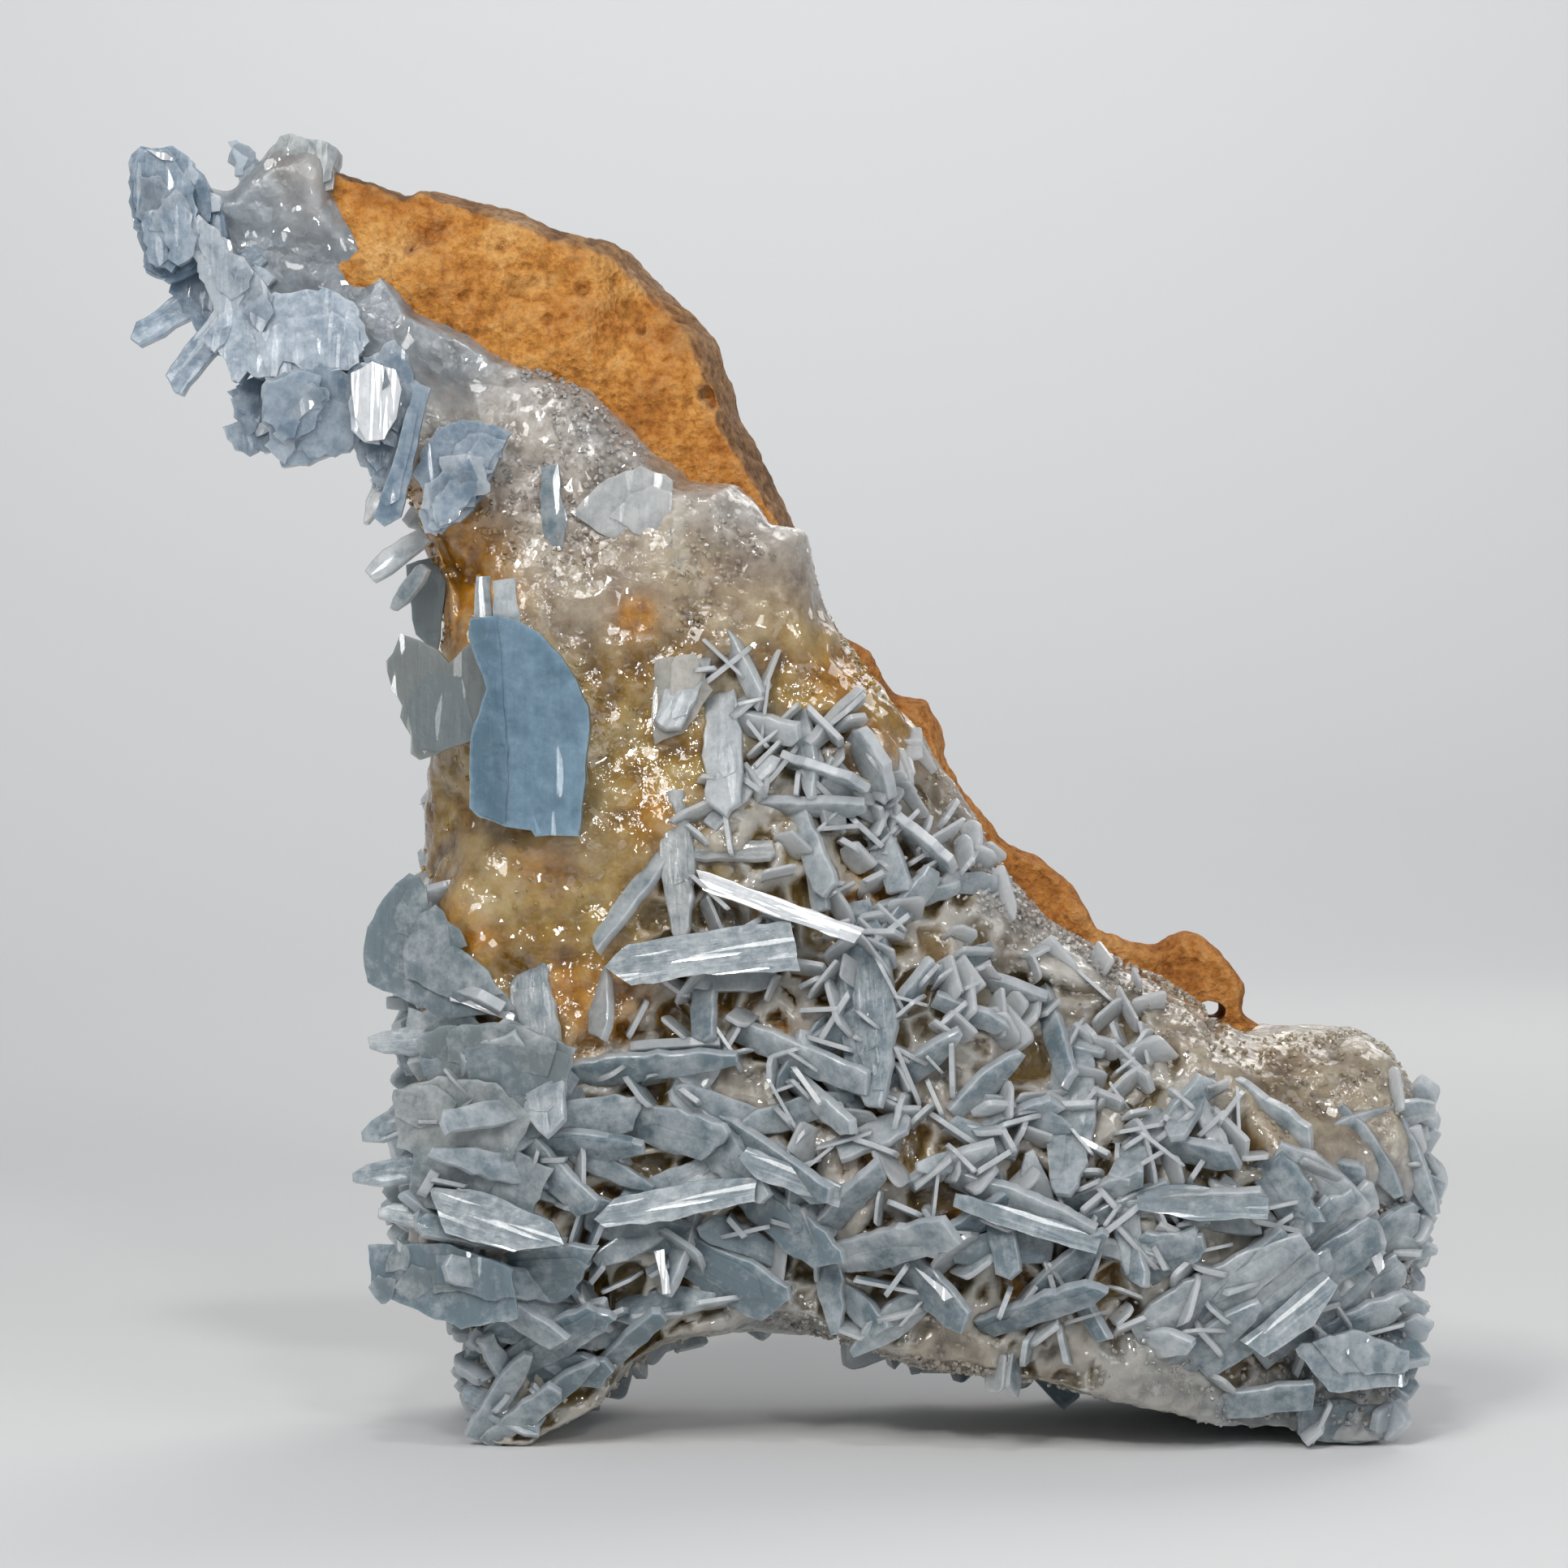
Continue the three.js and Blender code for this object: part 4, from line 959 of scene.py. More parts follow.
# Blades of the foot and middle: x and z of the root, x and z of the tip, width, how far the tip rises
# towards the viewer, and the roll about its length (0 shows its face, 90 its edge)
frontBlades = [
    (-9, 51.5, -8.5, 41.5, 2.6, 3, 15), (-10.3, 48, -15.7, 40.7, 1.4, 4, 40),
    (6, 42.5, 7.1, 30.5, 3.5, 4, 20), (-5.3, 60, -5, 51.5, 3.2, 3, 10), (-7.6, 64, -10, 58.5, 2.8, 2, 10),
    (-3.6, 59.3, 1.1, 58.2, 1.9, 3, 30), (1.5, 58.2, 2.1, 53, 1.6, 3, 30), (1, 51.5, 3.5, 45.3, 2, 3, 25),
    (7.4, 50.5, 9.5, 45.3, 2.4, 3, 20), (9, 51, 14, 47, 0.8, 3, 75), (2, 55.3, 7, 53.6, 0.8, 3, 75),
    (3.3, 58.7, 6.5, 62, 1.2, 3, 50), (-4.8, 66.3, -1.8, 60.5, 1.3, 2, 40),
    (-0.7, 52.4, 6.7, 52.3, 1.3, 3, 50), (9, 43, 12.2, 47.2, 1.9, 3, 30), (6.6, 56.4, 8.5, 53, 1, 3, 60),
    (-16.3, 30.8, -4, 32.2, 2.3, 4, 25), (-2.6, 33.7, 6.7, 30, 2.3, 5, 25),
    (6.2, 40.5, 7, 28.4, 4.7, 4, 20), (-11.3, 26.8, -4.6, 25.2, 3.6, 4, 15),
    (-7, 26.2, -1.6, 21, 3.1, 5, 20), (-2.6, 21, 4.4, 15.2, 3.5, 5, 20),
    (4.3, 16, 13.4, 18.8, 3.1, 8.5, 20), (3, 18.4, 8, 24.4, 2.1, 5, 30), (-4.3, 26, 3.5, 21, 2.1, 4, 35),
    (1, 30, 5.4, 26.3, 1.6, 4, 40), (17, 20.5, 17.8, 14.7, 2.1, 4, 20), (15.3, 22, 24.7, 18.8, 1.9, 5, 35),
    (11.8, 23, 16.7, 25.6, 1.6, 4, 35), (21.5, 35.7, 23, 30, 1.6, 4, 35),
    (23.4, 30.5, 22.3, 21.2, 4.1, 4, 15), (17.5, 11, 25.4, 14.3, 2.3, 7.5, 30),
    (20.3, 12.7, 25.4, 18.5, 2.5, 5, 25), (10.4, 15, 14.6, 10.8, 2.8, 4, 30), (3.5, 15, 4, 9.7, 2, 4, 20),
    (5, 12.7, 8, 10, 2.1, 3, 25), (-8.2, 17.4, -9.7, 13, 1.3, 3, 50), (-7, 15.5, 0, 12, 4, 3, 20),
    (-18, 10.7, -14.2, 12, 2.1, 3, 25), (-14.5, 7.2, -10, 11.6, 1.6, 3, 30), (14, 36, 18, 34.3, 1.6, 3, 30),
    (9, 36, 12, 40, 1.2, 3, 45), (9.5, 30.5, 14, 34.4, 2, 3, 30), (16.7, 38, 21.5, 36.7, 1.2, 3, 50),
    (18, 27, 22.3, 28.7, 1.6, 4, 35), (-21, 38.5, -19, 26, 3.9, 5, 15),
    (-30.7, 32, -25.6, 31.2, 2.7, 2, 15), (-21.6, 14.5, -15, 15.3, 4.9, 4, 15),
    (-20.5, 24.5, -15.5, 19.7, 2.5, 4, 25), (-18.6, 25, -11.4, 25, 2.4, 4, 30),
    (-27.3, 37, -22.5, 35.4, 1, 4, 65), (-15.2, 38.5, -15, 33.3, 1.7, 3, 40),
    (-6.7, 37.7, -6.6, 33.3, 2, 3, 30), (-19, 22.5, -28.5, 24.8, 2.2, 7, 20),
    (-18.5, 28.5, -27.6, 27.2, 2, 7, 25), (-17.8, 13, -27.5, 15.4, 2.4, 7, 20),
    (-20, 17, -30, 18.8, 1.8, 7, 30), (-24.6, 12.8, -17.6, 9, 2, 7, 30),
    (-28.4, 31.5, -20.8, 33.6, 2, 7, 30), (-22.6, 6.7, -14.2, 12, 3.1, 5, 20),
    (28, 20, 38.7, 20.8, 2.3, 5, 30), (23.7, 20.8, 29, 23, 1.6, 4, 30), (30, 10.8, 41.8, 17.5, 4, 5, 15),
    (29, 16, 33.4, 17.7, 4, 4, 10), (27.3, 17.5, 28.7, 14, 1.9, 4, 30), (30.6, 25, 36.5, 24, 1.9, 4, 40),
    (34, 30, 31, 25.6, 1.7, 4, 35), (39.8, 22.3, 42.6, 18.4, 3.5, 4, 15),
    (47, 17.7, 48.2, 14.8, 1.1, 4, 60), (35.4, 3.7, 43, 5, 2.4, 5, 20), (29.3, 9.2, 32.7, 9.5, 2.4, 4, 20),
    (23.7, 12.7, 25.7, 9.5, 1.2, 3, 40), (38, 28.5, 43, 25, 2, 3, 30), (15, 29, 19, 32.5, 2, 3, 30),
    (-24.5, 2.5, -21, 8, 2, 3, 20), (-23, 1.5, -18.5, 5, 2, 3, 20), (-21, 3, -15.4, 7.5, 1.8, 3, 25),
    (-25.2, 7.5, -21.5, 12, 2.2, 3, 20), (-22.5, 5, -24.6, 9.5, 1.4, 3, 30),
    (34.9, 8.7, 44.1, 16.1, 4, 4, 12), (40, 22, 42.2, 17.6, 3, 3, 20), (41.4, 23.2, 47.4, 19.2, 3.6, 3, 15),
    (43, 6.7, 49.6, 5.9, 2.8, 2.5, 15), (39, 11.8, 48.5, 17.8, 3.4, 2.5, 12),
    (51, 24.5, 53.3, 18.8, 2, 2, 25), (44, 10.6, 50.8, 14.8, 3.2, 2, 15), (31, 26.6, 34.4, 30.4, 2, 3, 25),
    (37.5, 15.4, 46, 21, 2.6, 3, 20), (36.5, 10.2, 43, 16.2, 2.6, 4, 20), (40, 8.8, 47.6, 14.6, 2.8, 4, 15),
    (43, 8.2, 50.6, 12.4, 2.6, 4, 20), (38.2, 15, 44.6, 20.4, 2.4, 4, 25),
    (42.4, 15.8, 48.2, 21.2, 2.6, 4, 20), (46.2, 14.4, 52, 18.8, 2.4, 4, 20),
    (34.6, 12.2, 40, 18.4, 2.2, 4, 30), (32, 7.6, 38.2, 12.6, 2.4, 4, 20),
    (46.6, 25.6, 50.4, 20.4, 2.4, 2, 20), (44, 14, 51.6, 19.6, 2.6, 2, 20),
    (29.5, 26.2, 26.4, 22.4, 2, 3, 25),
]

# Blades that overhang the edge: the root is inside the mass and the tip outside
edgeBlades = [
    (-28, 28.5, -34.3, 25.5, 3, -2, 15), (-28, 23.5, -35, 22.3, 2.4, -2, 15),
    (-28, 33.5, -34, 33, 2.5, -2, 15), (-27, 19, -33, 19.5, 2.2, -2, 20),
    (-25, 14.6, -32.6, 14.6, 4.4, -2, 10), (-22, 2.5, -26.6, 4.5, 2.5, -1, 20),
    (48, 21, 54.2, 20.5, 4.2, -3, 10), (47, 26, 53.5, 27.5, 2.5, -3, 20), (46, 12, 52.8, 11, 3.5, -3, 15),
    (45, 7.5, 51.6, 6, 3.4, -3, 20), (46, 16.5, 53.6, 15.8, 2.4, -3, 20), (44, 2.2, 50.3, 2, 3.6, -2, 10),
    (-31.5, 73.5, -34.6, 71.3, 1.8, -0.5, 15), (-33, 79.5, -34.6, 75.6, 1.5, 1, 15),
    (-31, 70.4, -32.4, 68.6, 1.4, -1, 20),
]
leftPlates = [
    {"points": [(-29.4, 46), (-30.8, 46.9), (-32.4, 45.6), (-34.2, 42.5), (-34.7, 40), (-34.3, 38),
                 (-27.3, 35), (-22, 36), (-24.6, 39.5), (-28.5, 42)],
     "y": -12, "lean": (-0.25, 0.05), "tone": (0, 0.03, 0.2)},
    {"points": [(-33.8, 17), (-33.5, 13.2), (-26, 10.5), (-21.5, 11.5), (-22, 15.5), (-27, 17.2)],
     "y": -17, "lean": (-0.3, 0.1), "tone": (0, 0, 0.4)},
    {"points": [(-30.5, 35.5), (-31.5, 31), (-27, 29.5), (-24, 33), (-25.5, 35.5)],
     "y": -12, "lean": (-0.2, -0.2), "tone": (0.05, 0.05, 0.7)},
    {"points": [(-30, 33.5), (-29.5, 30.5), (-24, 29.8), (-18, 29), (-17, 33), (-22, 35), (-28, 34.6)],
     "y": -15, "lean": (-0.2, -0.1), "tone": (0.05, 0.08, 0.5)},
]
rightPlates = [
    {"points": [(41, 8.7), (44, 5.1), (50, 5.3), (50.6, 8.2), (46, 10)],
     "y": -14.3, "lean": (0.2, 0.15), "tone": (0.3, 0, 0.5)},
]
insetPlates = [
    {"points": [(-17.9, 76.5), (-14.8, 79.2), (-11.9, 80.4), (-9.3, 79.3), (-9.5, 75.9), (-9.1, 72.4),
                 (-11.9, 73.2), (-15.6, 75)],
     "proud": -0.05, "lean": (0, 0.05), "tone": (0.65, 0.12, 0.5), "layers": 1},
    {"points": [(-20.1, 80.2), (-18.9, 80.5), (-18.1, 75.9), (-18.4, 73.2), (-19.7, 73.4), (-20.3, 76.5)],
     "proud": 0, "lean": (0.05, -0.02), "tone": (0.3, 0, 0.3), "layers": 0},
    {"points": [(-10.7, 64.5), (-7.6, 64.9), (-6.2, 62), (-8.4, 58.4), (-10.9, 57.3), (-11.2, 60.5)],
     "proud": 0.15, "lean": (0, 0.05), "tone": (0.5, 0.3, 0.1), "layers": 1},
    {"points": [(-43.4, 106.5), (-42.3, 108.4), (-41.3, 108.4), (-38.6, 107.7), (-37.6, 107.2),
                 (-37.9, 103.9), (-41.6, 102.2), (-43.3, 103.2)],
     "y": -0.5, "lean": (0, 0.1), "thickness": 5, "tone": (0.2, 0.1, 0.4)},
    {"points": [(-31.8, 29.5), (-31.4, 25), (-27, 23.2), (-22, 24), (-20.4, 27.5), (-23.5, 30.3),
                 (-28, 30.6)], "proud": 0.2, "lean": (-0.12, 0.02), "tone": (0.3, 0.1, 0.5), "layers": 1},
    {"points": [(-25.9, 33), (-25.5, 27), (-22, 25.6), (-18.3, 26.4), (-18.2, 31), (-20.5, 33.6)],
     "proud": 0.6, "lean": (-0.1, -0.04), "tone": (0.05, 0.03, 0.7), "layers": 1},
    {"points": [(-30, 24.5), (-30.5, 20.5), (-26, 19.4), (-20.5, 19.5), (-18.8, 23.2), (-23.5, 25.6)],
     "proud": 0.1, "lean": (-0.1, 0.02), "tone": (0.25, 0.04, 0.2), "layers": 1},
]
# Flat laths and chips whose face throws a lamp's light back at the viewer
glintPlates = [
    {"points": [(-7.3, 47.3), (-6.8, 45.6), (5.5, 41.4), (6.3, 42.5), (0, 44.8)],
     "proud": 2.4, "lamp": "leftGlint", "turn": -20},
    {"points": [(-27.4, 37.5), (-27.2, 36.7), (-22.2, 34.9), (-22, 35.6)],
     "proud": 2, "lamp": "leftGlint", "turn": -20},
    {"points": [(-53, 106.6), (-51.2, 106.4), (-50.4, 105.7), (-51.6, 105.8)],
     "y": -6.2, "lamp": "leftGlint", "thickness": 0.5},
    {"points": [(47.1, 17.4), (47.8, 17.7), (48.7, 15), (48.1, 14.4)], "proud": 3, "lamp": "rightGlint"},
    {"points": [(10.3, 15.6), (11, 15.2), (13.4, 13.3), (12.6, 13)], "proud": 1.8, "lamp": "rightGlint"},
    {"points": [(-10.7, 16.6), (-9.9, 16.7), (-9.3, 13.4), (-9.9, 13.2)],
     "proud": 1.8, "lamp": "leftGlint"},
    {"points": [(-35.4, 87.6), (-33.8, 88.6), (-31.8, 88), (-31.2, 86.4), (-31.6, 84), (-32.7, 82.2),
                 (-34, 82.1), (-35.1, 84)], "y": -12.6, "lamp": "leftGlint"},
]
streakedPlates = [
    {"points": [(-14.7, 39.5), (-12.9, 41.2), (-5.9, 42.5), (0.4, 43.2), (1.1, 39.2), (-6.6, 38.9),
                 (-12.6, 37.9)], "proud": 2.4, "lamp": "leftGlint", "turn": 8},
    {"points": [(-15.4, 19.2), (-13.9, 20.9), (-7.9, 22.2), (-2.3, 22.7), (-2.6, 20.9), (-9.3, 19.2),
                 (-14.6, 18.7)], "proud": 2.6, "lamp": "leftGlint", "turn": 10},
    {"points": [(-28.8, 21.8), (-24.6, 21.6), (-18.6, 19.2), (-17.7, 17.5), (-21.9, 16.9), (-27.3, 18.2)],
     "proud": 2.2, "lamp": "leftGlint", "turn": -18},
    {"points": [(13.6, 21.6), (21.5, 19.4), (25.2, 17.9), (24.6, 16.8), (15.4, 19.6), (13.2, 20.5)],
     "proud": 2.2, "lamp": "rightGlint", "turn": -18},
    {"points": [(-3.2, 25.2), (4.5, 22.1), (4.2, 20.4), (-2.4, 22.6), (-3.8, 24.2)],
     "proud": 2, "lamp": "rightGlint", "turn": -20},
    {"points": [(36.6, 9.4), (43.4, 14.9), (44.6, 13.6), (42.5, 10.5), (38.5, 8.2)],
     "proud": 2.4, "lamp": "rightGlint", "turn": 38},
    {"points": [(28, 21.8), (33, 22), (38.6, 21.2), (38.4, 19.6), (33, 19.4), (28.4, 20)],
     "proud": 2.2, "lamp": "topGlint", "turn": 0},
]
# The glint plates take this pale tone, partly a painted highlight
brightTone = (0.6, 0, 0.5)
streakedTone = (0.15, 0, 0.5)
boxwork = {
    "thickness": 0.9, "chamfer": 0.1, "seed": 40, "chips": 22, "chipTone": 0.35,
    "edgeOnRoll": 60, "edgeOnWidth": 5, "steppedWidth": 2.6,
}
# Length and width of the largest fillers at the lower left and at the upper right
fillers = {
    "count": 60, "x": (-30, 52), "z": (4, 68), "low": (9, 3.6), "high": (5.5, 2), "thickness": (0.7, 1.1),
}
# How pale blades are at the lower left and how much paler at the upper right, how far chance takes a single
# one, and how much of the crust's honey they hold. The darker lower part is partly the blades' own blue-grey
# and partly painted shade.
tones = {"darkest": 0.1, "paler": 0.5, "chance": (-0.2, 0.35), "honey": 0.4}
chips = {"size": (0.9, 2.4), "corners": 6, "sunk": (0.1, 0.42), "thickness": 0.9, "leaning": 0.13}
layerRise = 0.2  # how far each thin layer stands out of the one under it
behindFront = -8  # the y of a root or plate where no crust is in front of it


# The upper right blades are small and white, the lower left ones large and blue-grey
def smallShare(x, z):
    return min(1, max(0, (x + 0.9 * z - 8) / 52))


# Blades grow darker towards the bottom: partly their own colour, partly painted shade
def toneAt(x, z, dice):
    pale = tones["darkest"] + tones["paler"] * min(1, max(0, (0.35 * x + z - 8) / 50))
    honey = max(0, honeyAt(x, z) - 0.5) * tones["honey"]
    pale = min(1, max(0, pale + dice.uniform(*tones["chance"])))
    return (pale, honey * dice.random() ** 2, dice.random())


# A thin layer on a blade, shorter and narrower than it, that ends in low steps
def addStep(growth, length, width, thickness, matrix, tone, dice):
    share = dice.uniform(0.45, 0.95)
    place = (length * dice.uniform(0, 1 - share), dice.uniform(-0.22, 0.22) * width, -0.12)
    outline = bladeOutline(length * share, width * dice.uniform(0.35, 0.75), dice)
    growth.add(prismShape(outline, thickness, 0), matrix @ Matrix.Translation(place), tone)


# A blade of the lists: its row is read as the notes above them say
def addBlade(growth, row, dice, lookOf, lensShare=laths["lensShare"]):
    rootX, rootZ, tipX, tipZ, visibleWidth, rise, roll = row
    rootY = frontY(rootX, rootZ, behindFront) + 0.5
    tipY = min(frontY(tipX, tipZ, rootY), rootY + 3) - 0.5 * rise
    root = Vector((rootX, rootY, rootZ))
    tip = Vector((tipX, tipY, tipZ))
    edgeOn = roll >= boxwork["edgeOnRoll"]
    width = boxwork["edgeOnWidth"] if edgeOn else visibleWidth / math.cos(math.radians(roll))
    thickness = visibleWidth if edgeOn else boxwork["thickness"]
    matrix = basisOf(root, tip, towardViewer, roll)
    length = (tip - root).length
    tone = lookOf(tipX, tipZ, dice)
    outline = bladeOutline(length, width, dice, lensShare)
    growth.add(prismShape(outline, thickness, boxwork["chamfer"]), matrix, tone)
    if width > boxwork["steppedWidth"] and not edgeOn:
        addStep(growth, length, width, thickness, matrix, tone, dice)


def middleOf(points):
    return sum(x for x, z in points) / len(points), sum(z for x, z in points) / len(points)


# The lean with which a face mirrors a lamp to the viewer
def mirrorLean(place, lamp):
    place = drawnToFrame @ Vector(place)
    half = (glintLamps[lamp] - place).normalized() + (eye - place).normalized()
    return -half.x / half.y, -half.z / half.y


# A plate has an outline of x and z and the y of its middle, or how proud of the crust that is. Its y grows
# by its lean along x and z, or it leans so that it mirrors a lamp. Turn is the direction of its streaks, in
# degrees from x. Thin layers on it keep near one of its corners and end in low steps.
def addPlate(growth, form, dice, lookOf, step=0.9, jitter=0.18):
    points = form["points"]
    middleX, middleZ = middleOf(points)
    middleY = form["y"] if "y" in form else frontY(middleX, middleZ, behindFront) - form["proud"]
    leanX, leanZ = form["lean"] if "lean" in form else mirrorLean((middleX, middleY, middleZ), form["lamp"])
    lean = Matrix(((1, 0, 0, middleX), (leanX, leanZ, 1, middleY), (0, 1, 0, middleZ), (0, 0, 0, 1)))
    turned = Matrix.Rotation(math.radians(form.get("turn", 90)), 4, "Z")
    lean = lean @ turned
    outline = [(turned.inverted() @ Vector((x - middleX, z - middleZ, 0)))[:2] for x, z in points]
    tone = form.get("tone") or lookOf(middleX, middleZ, dice)
    thickness = form.get("thickness", 1.6)
    growth.add(prismShape(ragged(outline, step, jitter, dice), thickness, 0), lean, tone)
    for layer in range(form.get("layers", 2)):
        cornerX, cornerZ = dice.choice(outline)
        share = dice.uniform(0.4, 0.85)
        inner = [(cornerX + (x - cornerX) * share, cornerZ + (z - cornerZ) * share) for x, z in outline]
        paler = (min(1, tone[0] + dice.uniform(-0.15, 0.3)), tone[1], dice.random())
        rise = Matrix.Translation((0, 0, -layerRise * (layer + 1)))
        growth.add(prismShape(ragged(inner, step, jitter, dice), thickness, 0), lean @ rise, paler)


# Blades by chance where the cover leaves room for them
def addFillers(growth, dice):
    count = fillers["count"]
    while count > 0:
        x, z = dice.uniform(*fillers["x"]), dice.uniform(*fillers["z"])
        room = valueAt(bladeCover, x, z)
        rootY = frontY(x, z)
        if rootY is None or dice.random() > room:
            continue
        small = smallShare(x, z)
        turn = dice.uniform(0, 2 * math.pi)
        longest, widest = (low - (low - high) * small for low, high in zip(fillers["low"], fillers["high"]))
        length = longest * dice.uniform(0.6, 1)
        width = widest * dice.uniform(0.5, 1)
        tipX = x + length * math.cos(turn)
        tipZ = z + length * math.sin(turn) * (0.6 + 0.4 * small)
        tipY = frontY(tipX, tipZ)
        if tipY is None or tipZ < 5 or valueAt(bladeCover, tipX, tipZ) < 0.35:
            continue
        root = Vector((x, rootY + dice.uniform(0, 0.8), z))
        tip = Vector((tipX, min(tipY, rootY + 2) - dice.uniform(-0.4, 0.8), tipZ))
        matrix = basisOf(root, tip, towardViewer, dice.gauss(0, 24))
        tone = toneAt(x, z, dice)
        thickness = dice.uniform(*fillers["thickness"])
        outline = bladeOutline((tip - root).length, width, dice)
        growth.add(prismShape(outline, thickness, boxwork["chamfer"]), matrix, tone)
        count -= 1


def buildBoxwork():
    dice = random.Random(boxwork["seed"])
    growth = Growth()
    for row in frontBlades:
        addBlade(growth, row, dice, toneAt)
    for row in edgeBlades:
        addBlade(growth, row, dice, toneAt, 0.8)
    plates = [{"thickness": boxwork["thickness"], **form} for form in leftPlates + rightPlates + insetPlates]
    for form in plates:
        addPlate(growth, form, dice, toneAt, 0.8, 0.14)
    addChips(growth, plates[:len(leftPlates)], boxwork["chips"], dice, boxwork["chipTone"])
    addFillers(growth, dice)
    finishPiece("boxworkBlades", growth.unitedMesh(), bladeFinish, "barite_blades", "crust", smooth=False)


def buildPlates(name, plates, tone, finish, slot, node):
    dice = random.Random(boxwork["seed"] + 1)
    growth = Growth()
    for form in plates:
        addPlate(growth, {"thickness": 0.8, "layers": 0, "tone": tone, **form}, dice, toneAt, 1.1, 0.1)
    finishPiece(name, growth.unitedMesh(), finish, slot, node, smooth=False)


